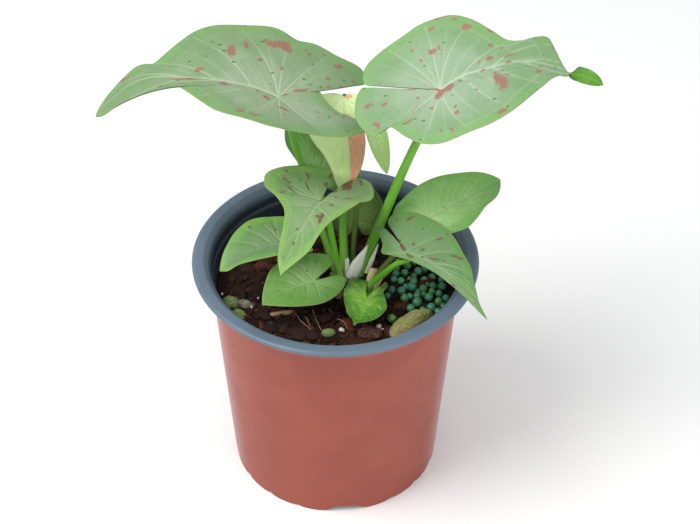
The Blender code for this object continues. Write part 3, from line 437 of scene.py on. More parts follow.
# Leaves.
# Each leaf: joint is where the stalk meets the blade (x, y, height over the rim). heading,
# rise and roll say how the blade lies there, in degrees. arch and hook bend the midrib down
# along its length, hook mostly at the tip; sweep turns it sideways and twist rolls it. back
# bends the rear lobes. fold lifts the left and the right half, tip_fold adds to both near
# the tip and lobe_fold to each rear lobe. bend is the length that the bending is spread over
# and flip turns the tip over between two distances along it. The outline runs along and
# across the midrib, from the tip back to the cleft, left side and right side. ribs is the
# midrib's own course, and blots are larger flecks: place, half length, half width, turn.
LEAVES = {
    "leaf_upper_left": dict(
        joint=(-23.1, 15.0, 69.6), heading=181, rise=20, arch=-44, hook=-46, sweep=-6, back=-8,
        roll=-4, twist=-4, fold=(11, 11), tip_fold=-25, lobe_fold=(-6, 0), length=80.5, bend=84.0,
        tip=(79.8, 1.0), cleft=(-1.3, -0.85),
        left=[(76, 4), (70.5, 5.4), (62, 2.8), (54, 0), (47.6, -1.6), (41, 1.4), (35.4, 6.9), (30, 13.4),
              (23.5, 20.4), (15, 24), (5, 26.4), (-3, 25), (-12, 21.6), (-24, 17.2), (-33.5, 11.8), (-37, 8),
              (-36, 4.2), (-32, 2), (-26.5, 0.8), (-22.4, -2.2), (-19, -6.2), (-16.6, -9.2), (-12, -7.3),
              (-6, -3.8)],
        right=[(77.5, -3.4), (72, -6.8), (65, -11), (58, -15), (51.6, -13.6), (47.5, -17.4),
               (42, -23.4), (35, -29.8), (28, -33), (15, -34.2), (4, -35.4), (-5, -32.9), (-13, -34),
               (-22, -31.6), (-33.2, -27.6), (-36.4, -22), (-35.4, -18.9), (-29, -16.8), (-22, -14.4),
               (-13.5, -9.6), (-6, -4.5)],
        ribs=[(0, 0), (10, -2.2), (20, -2.6), (30, -3.3), (40, -3.8), (52, -5.5), (61, -4), (69, -0.6), (80.5, 0)],
        blots=[(2, -27, 4.4, 1.9, 20), (-1.6, -25.6, 1.7, 1.5, 0), (20.5, -19, 1.5, 2.8, 8), (15, -23.5, 0.8, 2.4, 12),
               (-11, -26.7, 0.9, 0.8, 0), (-24, -25, 1.9, 1.1, 10), (9, -17, 1.1, 0.7, 30), (32.5, -8, 1.7, 0.9, 30),
               (37.5, -2.7, 4.4, 0.7, 0), (22, -0.8, 2.5, 1.1, -6), (4.5, 4, 1.6, 1.1, -30), (-2, 8.5, 2, 0.9, -20),
               (15, 19, 1.8, 0.9, 0), (10, 20.8, 2, 0.8, 0), (-9, -6.4, 2.6, 0.6, 24), (-20, -16.5, 1, 0.8, 0),
               (65, -9.6, 4, 0.8, 0), (-3, -33.4, 2.6, 1.2, 0)]),
    "leaf_upper_right": dict(
        joint=(40.9, 10.0, 77.0), heading=9, rise=20, arch=-46, hook=-44, sweep=0, back=-10,
        roll=14, twist=-12, fold=(5, 5), tip_fold=-5, lobe_fold=(-6, 6), length=69.5, bend=82.0,
        flip=(50.5, 57.0, -118.0), cleft=(-1.4, 0.6),
        left=[(67, 1.6), (63, 2.8), (58, 3), (53.5, 1.8), (51, 4.5), (49.3, 11), (46.9, 17.9),
              (43, 17.8), (36.5, 15.6), (31, 16.1), (26, 21.5), (19.5, 29), (13, 33.2), (3.5, 33.4),
              (-7.5, 31.4), (-19, 27.8), (-25.6, 23.4), (-28.2, 18), (-27.6, 14.2), (-25.4, 13), (-22.6, 13.6),
              (-18.5, 12.9), (-13.5, 8.8), (-9, 5.4), (-4.5, 2.5)],
        right=[(67, -1.6), (63, -2.8), (58, -3), (53.5, -1.4), (46.4, -3.8), (38, -11.3), (26, -20.6),
               (15, -25.4), (3, -26.6), (-7, -27), (-13.5, -24), (-18.6, -17.4), (-22.4, -10.8),
               (-24.4, -9.9), (-27.4, -12), (-30, -13.2), (-32.8, -9), (-35, -1), (-34, 5), (-32, 10),
               (-29.4, 13), (-27.2, 12.4), (-23.5, 10.4), (-20, 8.6), (-13.5, 5.7), (-6, 2.5)],
        ribs=[(0, 0), (9, 3), (19, 3.6), (30, 4.8), (38, 4.2), (45, 2.6), (52, 0.7), (71, 0)],
        blots=[(-1, -2.5, 2.2, 1.7, 50), (3.5, -0.8, 2.9, 1.5, 20), (23.6, -4.6, 2.2, 4.1, 4), (17, 25.8, 1.7, 1.3, 40),
               (4.5, 29, 1.4, 0.8, 30), (13.5, 30.5, 1.1, 0.7, 20), (7.5, 33, 0.8, 0.6, 0), (2.3, 18.5, 1.6, 1.2, 0),
               (4.6, 19.2, 0.8, 1.3, 0), (26, 21.4, 1.5, 0.9, -30), (22, 8, 1.5, 0.8, 20), (30, 8.5, 2.2, 0.5, 20),
               (18.5, 3.3, 1.3, 0.6, 20), (29, 5.2, 1.3, 0.5, 10), (39.5, -1.5, 0.7, 1.8, 0), (3.4, -15, 1.1, 1, 0),
               (20.5, -21, 2.4, 0.8, 20), (-15.5, -11, 1.7, 0.7, 25), (-22.5, 1.5, 1.2, 0.7, 20), (-29.5, 2.8, 1.8, 1, 30),
               (-27.5, -8, 1, 2, 20), (48.5, 12.5, 1.2, 0.5, 0)]),
    "leaf_centre": dict(
        joint=(3.2, 29.0, 58.4), heading=-92, rise=-76, arch=-10, hook=0, sweep=0, back=6,
        roll=0, twist=0, fold=(14, 4), tip_fold=0, lobe_fold=(0, 0), length=44.0,
        left=[(42, 2.8), (36, 5.8), (28, 8.4), (19, 9.4), (12, 8.8), (6, 8), (0, 7.2), (-2.8, 5), (-2.6, 2.2)],
        right=[(42.6, -1.4), (39.5, -2.8), (35.5, -4), (30.5, -5.6), (24, -9), (20.5, -11.6), (15.5, -14.4),
               (9, -16.4), (4, -16), (0, -13), (-2.4, -8), (-2.6, -3)],
        ribs=[(0, 0), (12, 1.2), (24, 2.5), (36, 3), (44, 0)],
        blots=[(8, 0.4, 1.9, 3.1, 0), (-2, 1.5, 0.8, 2.2, 0)]),
    "leaf_hanging_bud": dict(
        joint=(13.9, 24.0, 52.2), heading=-54, rise=-54, arch=-10, hook=0, sweep=0, back=8,
        roll=0, twist=0, fold=(20, 20), tip_fold=0, lobe_fold=(0, 0), length=24.0,
        left=[(20.5, 2), (14, 4), (7, 5), (1, 4.4), (-4, 3), (-3.4, 1.2)],
        right=[(20.5, -2.4), (14, -4.8), (7, -5.4), (1, -4.8), (-4, -3.2), (-3.4, -1.2)]),
    "leaf_middle": dict(
        joint=(-5.8, -4.0, 32.0), heading=-109, rise=15, arch=-32, hook=2, sweep=3, back=-8,
        roll=2, twist=2, fold=(9, 8), tip_fold=1, lobe_fold=(-34, 12), length=48.5,
        left=[(45.8, 1.6), (41.3, 4.7), (35.3, 7.7), (27, 8.6), (19, 9.8), (10, 13.4), (0, 16.6),
              (-12, 17.6), (-23.5, 15.6), (-28.2, 12.6), (-27.6, 8), (-23, 4.4), (-17, 2.9), (-7, 1.4)],
        right=[(41.6, -3.3), (34, -5.2), (24, -7.2), (14.5, -10.6), (8, -16.5), (2.4, -23.6), (-5.2, -26.6),
               (-13, -24.4), (-21, -18), (-26.2, -9.4), (-26.6, -4.8), (-20.5, -3.2), (-12.9, -2), (-5, -0.9)],
        blots=[(-22, -3.8, 2.6, 1.0, 8), (-15, -3.4, 1.6, 0.9, 0), (-16, -12, 2.4, 0.5, 30), (-9, -9.4, 3.2, 0.45, 35),
               (-7, -18.6, 2.2, 0.4, 60), (-1, -13.6, 3.4, 0.4, 60), (-18.6, 4.8, 5.2, 2.1, 15),
               (-24, 9.6, 1.6, 0.7, 20), (16, 5.4, 3.0, 0.7, 10), (24, -1.6, 0.9, 0.7, 0), (-13, -20.4, 1.6, 0.5, 40)]),
    "leaf_left": dict(
        joint=(-22.6, -2.0, 7.5), heading=205, rise=12, arch=-39, hook=-9, sweep=5, back=-8,
        roll=2, twist=-5, fold=(20, 18), tip_fold=-1, lobe_fold=(-7, 12), length=29.0,
        left=[(26, 4.4), (21, 6.2), (15.5, 9.8), (9, 12.6), (2, 13.4), (-5, 12.6), (-10.5, 9.4), (-10, 4.6),
              (-5, 1.2)],
        right=[(26.6, -2.4), (20, -8), (14.5, -11.8), (8, -14.4), (0, -14.3), (-6.5, -13.2), (-12, -10),
               (-12.4, -5.5), (-6, -1.4)]),
    "leaf_low_left": dict(
        joint=(-9.2, -14.0, -2.5), heading=215, rise=9, arch=-9, hook=-19, sweep=6, back=-16,
        roll=-12, twist=-2, fold=(7, 13), tip_fold=-1, lobe_fold=(1, 9), length=25.6,
        left=[(22.9, 3.2), (18.8, 7), (12, 10.9), (4, 13), (-3.3, 11.6), (-9.7, 8.6), (-13, 5),
              (-11.3, 1.9), (-5.5, 0.6)],
        right=[(23.8, -2.1), (19, -7), (13.5, -11.4), (6, -13.6), (-1.5, -13.6), (-8.5, -11),
               (-13, -8.2), (-12.9, -4.6), (-7.5, -2.6)]),
    "leaf_low_front": dict(
        joint=(12.9, -19.0, -7.7), heading=-102, rise=0, arch=16, hook=-6, sweep=-10, back=18,
        roll=-2, twist=-4, fold=(19, 20), tip_fold=3, lobe_fold=(-2, -14), length=20.3,
        left=[(17, 1.2), (14.3, 4.6), (10.5, 9), (5.5, 10.2), (0.5, 8.2), (-3, 6.8), (-8, 7.4), (-12, 6.6),
              (-12.8, 5.5), (-7, 3.1)],
        right=[(17, -1.8), (12.5, -5.8), (7, -8.6), (0, -10), (-7, -9.8), (-13, -9), (-15.6, -5.8),
               (-14.5, -3.6), (-7, -1.9)]),
    "leaf_right": dict(
        joint=(38.8, 7.0, 14.9), heading=36, rise=7, arch=-8, hook=0, sweep=3, back=-11,
        roll=4, twist=6, fold=(10, 8), tip_fold=8, lobe_fold=(0, 1), length=38.8,
        left=[(37.8, 1.8), (34.9, 5), (30, 8.6), (23.5, 11.8), (15.5, 14.8), (6, 15.6), (-3, 13.8),
              (-9.5, 11.6), (-13, 8), (-11, 3.6), (-5, 1.2)],
        right=[(34.3, -4.9), (29.4, -8.4), (21.5, -10.6), (14.5, -14), (7.6, -16.2), (0, -14.6), (-6, -13.4),
               (-10.5, -10), (-10, -4.6), (-5, -1.4)]),
    "leaf_front_right": dict(
        joint=(28.75, -20.1, 18.8), heading=-46, rise=16, arch=-46, hook=-14, sweep=-6, back=-8,
        roll=10, twist=0, fold=(3, -24), tip_fold=0, lobe_fold=(12, 0), length=47.6, bend=60.0,
        tip=(48.6, -1.8), cleft=(-1.4, 0.6),
        left=[(45.5, -1.2), (42, -0.4), (37.5, 1.9), (32.9, 4.7), (27.6, 8.4), (20, 11.8), (11.5, 16), (2, 19),
              (-9, 19.3), (-17, 17.6), (-21, 13.8), (-20.5, 10.4), (-13, 6.4), (-6, 2.8)],
        right=[(46, -2.3), (42, -2.6), (36, -2.6), (26, -2.6), (14, -2.6), (3, -2.9), (-6, -4), (-11, -4.6),
               (-13, -1.2), (-19, 3), (-23.6, 5.6), (-21.4, 7), (-13, 5)],
        blots=[(-12, 15.6, 2.2, 0.7, 70), (-3.6, 1.4, 2.6, 0.7, 150), (3.5, -1.2, 1.8, 0.5, 0),
               (13.5, 2.4, 2.6, 0.5, 20), (20, 8.4, 2.4, 0.5, 15), (7.4, 11.6, 1.6, 0.6, 60)]),
    "leaf_shaded": dict(
        joint=(8.4, 26.0, -1.8), heading=92, rise=34, arch=-12, hook=0, sweep=0, back=-10,
        roll=0, twist=0, fold=(12, 12), tip_fold=0, lobe_fold=(0, 0), length=23.0,
        left=[(19, 3.4), (13, 8), (6, 11), (-2, 11), (-7, 7.6), (-7.5, 3.4), (-4, 1.2)],
        right=[(19, -3.4), (13, -8.4), (6, -11.8), (-2, -12), (-7, -8.4), (-7.5, -3.6), (-4, -1.2)]),
    "leaf_back_left": dict(
        joint=(-5.8, 28.0, 16.2), heading=157, rise=68, arch=-12, hook=0, sweep=0, back=-8,
        roll=-50, twist=0, fold=(8, 8), tip_fold=0, lobe_fold=(0, 0), length=33.0,
        left=[(30, 3.6), (24, 6.6), (15, 6.2), (5, 5.8), (-4.6, 5), (-7, 3), (-4, 1.2)],
        right=[(30, -4), (22, -8), (12, -10), (2, -9.4), (-4.6, -7), (-6, -3.4), (-4, -1.2)]),
}
CREASE_FADE = 0.35
BLADE_MM = 0.5
# Points on each side of the outline and rings from joint to edge.
FINE = {"leaf_upper_left": (230, 56), "leaf_upper_right": (230, 56), "leaf_middle": (150, 40),
        "leaf_front_right": (150, 40), "leaf_right": (140, 38), "leaf_centre": (130, 38)}
FINE_SMALL = (110, 30)
# Seeded small flecks: how many, their half length and their seed.
FLECKS = {"leaf_upper_left": (26, 0.7, 3), "leaf_upper_right": (30, 0.7, 5), "leaf_middle": (16, 1.1, 7),
          "leaf_left": (5, 0.8, 8), "leaf_front_right": (10, 0.9, 9), "leaf_centre": (3, 0.6, 10),
          "leaf_hanging_bud": (3, 0.6, 11), "leaf_low_left": (2, 0.5, 12)}


def outline(leaf, side_points):
    """flat outline from the cleft round the right side to the tip and back round the left"""
    tip, cleft = leaf.get("tip", (leaf["length"], 0.0)), leaf.get("cleft", (-1.5, 0.0))
    left = through([tip] + leaf["left"] + [cleft], side_points)
    right = through([tip] + leaf["right"] + [cleft], side_points)
    return np.vstack([right[::-1], left[1:-1]])


def midrib(leaf):
    """the midrib as a curve whose pitch, heading and roll are polynomials of the distance
    along it, with the blade's side and normal there"""
    length = leaf["length"]
    reach = 1.15 * max(-min(a for a, b in leaf["left"]), -min(a for a, b in leaf["right"]))
    along = np.linspace(-reach, 1.02 * length, 241)
    part = np.clip(along / leaf.get("bend", length), 0, None)
    rear = np.clip(-along / reach, 0, None)
    pitch = leaf["rise"] + leaf["arch"] * part + leaf["hook"] * part ** 4 + leaf["back"] * rear
    turn = leaf["heading"] + leaf["sweep"] * part ** 2
    pitch, turn = np.radians(pitch), np.radians(turn)
    forward = np.stack([np.cos(pitch) * np.cos(turn), np.cos(pitch) * np.sin(turn), np.sin(pitch)], 1)
    level = np.stack([-np.sin(turn), np.cos(turn), np.zeros_like(turn)], 1)
    normal = np.cross(forward, level)
    steps = (forward[1:] + forward[:-1]) / 2 * (along[1] - along[0])
    line = np.vstack([np.zeros(3), np.cumsum(steps, axis=0)])
    line -= np.array([np.interp(0.0, along, line[:, i]) for i in range(3)])
    roll = leaf["roll"] + leaf["twist"] * part ** 2
    start, stop, angle = leaf.get("flip", (0.0, 1.0, 0.0))
    ease = np.clip((along - start) / (stop - start), 0, 1)
    roll = np.radians(roll + angle * ease * ease * (3 - 2 * ease))[:, None]
    side = level * np.cos(roll) + normal * np.sin(roll)
    up = normal * np.cos(roll) - level * np.sin(roll)
    return along, line, side, up


def blade_surface(leaf, flat, lift):
    """the bent blade: midrib point, plus the distance across times the cosine of the fold,
    plus that distance's height in the fold and the lift along the normal"""
    along, line, side, up = midrib(leaf)
    a, b = flat[:, 0], flat[:, 1]
    centre, side, up = (np.stack([np.interp(a, along, v[:, i]) for i in range(3)], 1) for v in (line, side, up))
    rear = -min(p[0] for p in leaf["left"])
    back = np.clip(-a / rear, 0, 1.2)
    left = b >= 0
    fold = np.where(left, leaf["fold"][0] + leaf["lobe_fold"][0] * back,
                    leaf["fold"][1] + leaf["lobe_fold"][1] * back)
    tip_part = np.clip(a / leaf.get("bend", leaf["length"]), 0, 1)
    fold = np.radians(fold + leaf["tip_fold"] * tip_part ** 2)
    soft = CREASE_FADE * np.clip(-a, 0, None) + 0.35
    if "ribs" in leaf:
        course = np.asarray(leaf["ribs"], float)
        from_rib = b - np.interp(a, course[:, 0], course[:, 1])
    else:
        from_rib = b
    lifted = np.sqrt(from_rib * from_rib + soft * soft) - soft
    out = np.cos(fold) * b
    rise = np.sin(fold) * lifted + lift
    joint = np.array(leaf["joint"])
    return joint + centre + side * out[:, None] + up * rise[:, None]


def bent_line(start, end, bow):
    """quadratic curve from start to end whose middle is pushed sideways by bow times its length"""
    start, end = np.asarray(start, float), np.asarray(end, float)
    along = end - start
    across = np.array([-along[1], along[0]])
    control = (start + end) / 2 + across * bow
    t = np.linspace(0, 1, 14)[:, None]
    return (1 - t) ** 2 * start + 2 * t * (1 - t) * control + t * t * end


def rib_lines(leaf, edge):
    """midrib, side ribs that arch from it towards the margin, and ribs that fan from the
    joint into the rear lobes, each with its strength"""
    length = leaf["length"]
    course = np.asarray(leaf.get("ribs", [(0, 0), (length / 2, 0), (length, 0)]), float)
    lines = [(through(course, 60), 1.0)]
    middle = len(edge) // 2
    sides = ((edge[:middle + 1][::-1], -1), (edge[middle:], 1))
    for side, sign in sides:
        run = np.concatenate([[0], np.cumsum(np.linalg.norm(np.diff(side, axis=0), axis=1))])
        lobe = np.argmin(side[:, 0])
        whole = run[lobe]
        ends = np.arange(0.10, 0.97, 0.075)
        for k, s in enumerate(ends):
            goal = np.array([np.interp(s * whole, run, side[:, i]) for i in range(2)])
            from_a = length * max(0.0, 0.60 - 1.15 * s)
            root = np.array([from_a, np.interp(from_a, course[:, 0], course[:, 1])])
            goal = root + (goal - root) * 0.94
            bow = 0.13 * sign if s < 0.55 else -0.10 * sign * (s - 0.55) * 2
            lines.append((bent_line(root, goal, bow), 0.80 if k % 2 == 0 else 0.30))
        lobe_part = np.linspace(0.08, 0.9, 60) * whole
        loop = np.stack([np.interp(lobe_part, run, side[:, i]) for i in range(2)], 1)
        lines.append((loop * 0.85, 0.34))
    return lines


def rib_field(flat, lines):
    """strength of the ribs at each flat point, and the distance to the nearest strong rib"""
    ribs = np.zeros(len(flat))
    near = np.full(len(flat), 99.0)
    for line, strength in lines:
        a, b = line[:-1], line[1:]
        along = b - a
        size = (along ** 2).sum(1)
        t = ((flat[:, None] - a) * along).sum(2) / size
        t = np.clip(t, 0, 1)
        gap = np.sqrt((((a + t[..., None] * along) - flat[:, None]) ** 2).sum(2))
        pick = gap.argmin(1)
        gap = gap.min(1)
        share = (pick + 0.5) / len(along)
        width = (0.62 if strength == 1.0 else 0.42) * (1.15 - 0.75 * share)
        ribs = np.maximum(ribs, strength * (1 - 0.45 * share) * np.exp(-(gap / width) ** 2))
        if strength > 0.5:
            near = np.minimum(near, gap)
    return ribs, near


def blot_field(flat, blots):
    """1 in the middle of each fleck, 0.5 at its edge, falling to 0 outside"""
    field = np.zeros(len(flat))
    for a, b, long, wide, turn in blots:
        c, s = math.cos(math.radians(turn)), math.sin(math.radians(turn))
        u = (flat[:, 0] - a) * c + (flat[:, 1] - b) * s
        v = (flat[:, 1] - b) * c - (flat[:, 0] - a) * s
        reach = np.sqrt((u / long) ** 2 + (v / wide) ** 2)
        field = np.maximum(field, np.clip(1 - 0.5 * reach, 0, 1))
    return field


def seeded_flecks(leaf, edge, count, long, seed):
    """small flecks at random places inside the outline, drawn out along the line to the joint"""
    rng = np.random.default_rng(seed)
    spot = edge[rng.integers(0, len(edge), count)] * rng.uniform(0.25, 0.93, count)[:, None]
    turn = np.degrees(np.arctan2(spot[:, 1], spot[:, 0])) + rng.uniform(-25, 25, count)
    size = long * rng.uniform(0.6, 1.5, count)
    return np.column_stack([spot, size, size * rng.uniform(0.3, 0.7, count), turn])


def make_leaf(name, finish, under_finish, crumple=0.0):
    """polar grid from the joint to the outline, upper and under face, closed at the edge.
    The blade swells a little between its ribs and ripples towards its margin"""
    leaf = LEAVES[name]
    side_points, rings = FINE.get(name, FINE_SMALL)
    edge = outline(leaf, side_points)
    count = len(edge)
    share = np.linspace(0, 1, rings + 1)[1:]
    flat = np.vstack([np.zeros((1, 2)), (share[:, None, None] * edge[None]).reshape(-1, 2)])
    part = np.concatenate([[0.0], np.repeat(share, count)])
    margin = np.concatenate([[20.0], ((1 - share)[:, None] * np.linalg.norm(edge, axis=1)[None]).ravel()])
    ribs, near = rib_field(flat, rib_lines(leaf, edge))
    blots = [tuple(b) for b in leaf.get("blots", [])]
    if name in FLECKS:
        blots += [tuple(b) for b in seeded_flecks(leaf, edge, *FLECKS[name])]
    blot = blot_field(flat, blots) if blots else np.zeros(len(flat))
    size = leaf["length"]
    swell = (0.0075 * size) * (1 - np.exp(-(near / (0.06 * size)) ** 2)) * np.clip(margin / (0.06 * size), 0, 1)
    seed = sum(map(ord, name))
    ripple = 0.006 * size * cloudy(flat[:, 0] + 200, flat[:, 1] + 200, 0.2 * size, seed) * part ** 2
    rough = crumple * rough_field(flat[:, 0] + 90, flat[:, 1] + 90, 6.0, seed, 3) * np.clip(part * 2, 0, 1)
    shape = swell + ripple + rough - 0.22 * ribs
    thick = BLADE_MM * (1 - 0.5 * part ** 10)
    top = blade_surface(leaf, flat, shape)
    under = blade_surface(leaf, flat, shape - thick)
    verts = to_metres(np.vstack([top, under]))
    total = len(flat)
    hub = np.stack([np.zeros(count, int), 1 + np.arange(count), 1 + (np.arange(count) + 1) % count], 1)
    quads = grid_faces(rings, count) + 1
    quads = quads[:, [0, 3, 2, 1]]
    last = 1 + (rings - 1) * count + np.arange(count)
    after = np.roll(last, -1)
    band = np.stack([last, total + last, total + after, after], 1)
    faces = hub.tolist() + quads.tolist() + band.tolist()
    faces += (total + hub[:, ::-1]).tolist() + (total + quads[:, ::-1]).tolist()
    over = len(hub) + len(quads) + len(band)
    kind = np.zeros(len(faces), int)
    kind[over:] = 1
    heart = 0.35 * np.exp(-(np.linalg.norm(flat, axis=1) / (0.35 * size)) ** 2) - 0.25 * part ** 3
    if name == "leaf_centre":
        course = np.asarray(leaf["ribs"], float)
        right_of_rib = flat[:, 1] - np.interp(flat[:, 0], course[:, 0], course[:, 1])
        blush = np.clip((flat[:, 0] - 11) / 4, 0, 1) * np.clip(right_of_rib / 0.4, 0, 1) * 1.6
        blot = np.maximum(blot, blush)
    doubled = {label: np.tile(values, 2) for label, values in
               dict(ribs=ribs, blot=blot, rim=margin, heart=heart).items()}
    maps = {"flat": np.tile(flat, (2, 1)) / FLAT_MM}
    return new_piece(name + "_blade", verts, faces, [finish, under_finish], kind, doubled, maps)


# ---------------------------------------------------------------- stalks and sheaths
# As in the leaf list, heights over the rim: points, thickness at foot and top, straight run.
STALKS = {
    "shoot_main": {
        "leaf_upper_left": ([(1.0, 0.5, -14), (-5.0, 11.0, 1), (-10.4, 20.5, 13), (-14.6, 25.0, 28),
                             (-19.2, 22.0, 50)], 3.4, 2.2, 3.0),
        "leaf_upper_right": ([(9.0, 0.4, -14), (20.2, 6.5, 17.1), (31.4, 9.0, 49)], 4.6, 3.0, 3.0),
        "leaf_centre": ([(4.2, 1.5, -14), (3.2, 10.0, 0), (2.9, 20.0, 9), (2.8, 30.0, 20),
                         (2.9, 34.0, 40)], 4.0, 2.4, 3.0),
        "leaf_hanging_bud": ([(6.4, 4.0, -14), (8.4, 16.0, 8), (9.6, 26.0, 28)], 2.6, 1.8, 3.0),
        "leaf_middle": ([(2.4, -2.4, -14), (-1.2, -2.4, 10), (-3.8, -1.6, 24)], 3.0, 2.2, 3.0),
        "leaf_shaded": ([(6.8, 2.6, -12), (7.0, 9.0, -11), (7.4, 17.0, -10.6)], 2.2, 1.6, 1.0),
        "leaf_back_left": ([(1.0, 3.0, -13), (-1.6, 12.0, -4), (-4.6, 25.0, 2), (-6.4, 31.6, 8)],
                           2.6, 1.8, 1.0),
    },
    "shoot_left": {
        "leaf_left": ([(-7.2, -4.6, -13), (-10.0, 0.6, -5), (-17.0, 1.6, 2)], 2.4, 1.8, 2.0),
        "leaf_low_left": ([(-6.4, -6.8, -14), (-7.4, -10.2, -8)], 2.4, 1.8, 1.0),
    },
    "shoot_right": {
        "leaf_right": ([(14.6, -6.6, -14), (18.8, -4.6, -5), (27.0, -1.0, 4)], 2.6, 2.0, 3.0),
        "leaf_front_right": ([(14.2, -9.8, -14), (14.7, -11.3, -7), (19.8, -15.6, 3), (25.0, -18.4, 11)],
                             3.0, 2.2, 3.0),
        "leaf_low_front": ([(13.6, -10.8, -12.4), (13.2, -15.0, -10.8)], 2.2, 1.7, 0.0),
    },
}
# How far the old stalks have turned brown, at the foot and at the top.
STALK_AGE = {"leaf_right": (0.85, 0.45), "leaf_shaded": (0.8, 0.5), "leaf_upper_left": (0.35, 0.0),
             "leaf_hanging_bud": (0.8, 0.35), "leaf_back_left": (0.5, 0.4)}
CROWNS = {
    "shoot_main": ((4.6, 1.2, -14.4), (8.0, 5.4, 4.6)),
    "shoot_left": ((-7.0, -5.4, -14.5), (3.4, 3.2, 4.6)),
    "shoot_right": ((14.2, -8.8, -15.0), (3.4, 4.2, 2.6)),
}
# Sheaths: points, half width at foot, middle and top, and how far they cup, in degrees.
SHEATHS = {
    "sheath_left_of_thick_stalk": ([(6.0, -1.4, -13.0), (9.0, -0.6, -5), (13.4, 1.0, 4)], (3.0, 2.4, 0.4), 50),
    "sheath_right_of_thick_stalk": ([(13.0, -1.0, -9.5), (15.0, 0.4, -4), (17.4, 1.8, 3)], (0.9, 0.9, 0.3), 30),
    "sheath_pale_strip": ([(4.8, -1.6, -13.5), (4.9, -0.4, -8), (4.8, 1.0, -3)], (1.1, 1.0, 0.9), 40),
}
DRY_SHEATHS = {
    "sheath_dry_right": ([(14.4, -6.6, -13.4), (15.4, -4.6, -9.4), (17.0, -2.6, -5.4)], (1.9, 2.4, 2.4), 60),
    "sheath_dry_narrow": ([(16.2, -9.0, -13.2), (17.6, -7.6, -9.5), (19.8, -6.4, -6.4)], (1.0, 1.1, 0.6), 40),
    "sheath_dry_front": ([(2.2, -12.0, -14.0), (1.0, -9.6, -11), (-0.6, -7.2, -8.6)], (2.0, 2.4, 1.2), 70),
}


def carried(path, up):
    """unit vectors along a path, and two across it that turn as little as the path does"""
    ahead = np.gradient(path, axis=0)
    ahead /= np.linalg.norm(ahead, axis=1)[:, None]
    across = np.cross(np.asarray(up, float), ahead)
    across /= np.linalg.norm(across, axis=1)[:, None]
    return ahead, across, np.cross(ahead, across)


def stalk_arrays(points, foot, top, samples=70, sides=20):
    """round tube along a smooth curve, its radius falling evenly from foot to top, with a
    shallow groove on its upper side and rounded ends"""
    path = through(points, samples)
    share = np.linspace(0, 1, samples)
    radius = (foot + (top - foot) * share) / 2
    radius[[0, -1]] *= 0.35
    ahead, across, other = carried(path, (0.0, 1.0, 0.0))
    turn = np.arange(sides) * 2 * math.pi / sides
    groove = 1 - 0.07 * np.exp(-((turn - math.pi * 1.5) / 0.5) ** 2)
    ring = (across[:, None] * (radius[:, None] * np.cos(turn) * groove)[..., None]
            + other[:, None] * (radius[:, None] * np.sin(turn) * groove)[..., None])
    verts = np.vstack([(path[:, None] + ring).reshape(-1, 3), path[:1], path[-1:]])
    quads = grid_faces(samples, sides)
    first, last = samples * sides, samples * sides + 1
    i = np.arange(sides)
    j = (i + 1) % sides
    end = (samples - 1) * sides
    caps = np.concatenate([np.stack([np.full(sides, first), j, i], 1),
                           np.stack([np.full(sides, last), end + i, end + j], 1)])
    run = np.concatenate([[0], np.cumsum(np.linalg.norm(np.diff(path, axis=0), axis=1))]) / 100
    uv = np.stack([np.repeat(run, sides), np.tile(turn * 0.02, samples)], 1)
    uv = np.vstack([uv, [[0, 0]], [[run[-1], 0]]])
    return verts, quads.tolist() + caps.tolist(), uv


def ball_arrays(centre, radii, segments=32, rings=20, dent=None):
    """ball from angles of latitude and longitude, stretched to three half widths; dent
    multiplies its radius"""
    lat = np.linspace(-math.pi / 2, math.pi / 2, rings + 1)[1:-1]
    lon = np.arange(segments) * 2 * math.pi / segments
    unit = np.stack([np.outer(np.cos(lat), np.cos(lon)), np.outer(np.cos(lat), np.sin(lon)),
                     np.outer(np.sin(lat), np.ones(segments))], -1).reshape(-1, 3)
    unit = np.vstack([unit, [[0, 0, -1]], [[0, 0, 1]]])
    if dent is not None:
        unit = unit * dent(unit)[:, None]
    verts = unit * np.asarray(radii) + np.asarray(centre)
    quads = grid_faces(rings - 1, segments)
    i = np.arange(segments)
    j = (i + 1) % segments
    end = (rings - 2) * segments
    south, north = len(unit) - 2, len(unit) - 1
    caps = np.concatenate([np.stack([np.full(segments, south), j, i], 1),
                           np.stack([np.full(segments, north), end + i, end + j], 1)])
    return verts, quads.tolist() + caps.tolist()


def stalk_end(leaf, thickness, straight):
    """the stalk runs into the blade's under face, after a short straight stretch"""
    along, line, side, up = midrib(leaf)
    here = np.array([np.interp(0.0, along, up[:, i]) for i in range(3)])
    joint = np.array(leaf["joint"])
    top = joint - here * (0.3 + 0.12 * thickness)
    return [top - here * straight, top] if straight > 0 else [top]


def gather(shells):
    """several closed shells as one list of points, faces and map coordinates"""
    verts, faces, maps, base = [], [], [], 0
    for points, shell_faces, flat_map in shells:
        verts.append(points)
        maps.append(flat_map)
        faces += [[base + i for i in face] for face in shell_faces]
        base += len(points)
    return np.vstack(verts), faces, np.vstack(maps)


def make_shoot(name, finish):
    """a crown at the soil with its stalks rising from it"""
    centre, radii = CROWNS[name]
    crown, crown_faces = ball_arrays(centre, radii)
    shells = [(crown, crown_faces, crown[:, :2] * 0.01)]
    ages = [np.full(len(crown), 0.6)]
    for leaf_name, (points, foot, top, straight) in STALKS[name].items():
        path = points + [tuple(p) for p in stalk_end(LEAVES[leaf_name], top, straight)]
        shells.append(stalk_arrays(path, foot, top))
        age_foot, age_top = STALK_AGE.get(leaf_name, (0.0, 0.0))
        ages.append(np.linspace(age_foot, age_top, len(shells[-1][0])))
    verts, faces, uv = gather(shells)
    age = np.concatenate(ages)
    return new_piece(name + "_stalks", to_metres(verts), faces, [finish], None, {"age": age}, {"flat": uv})


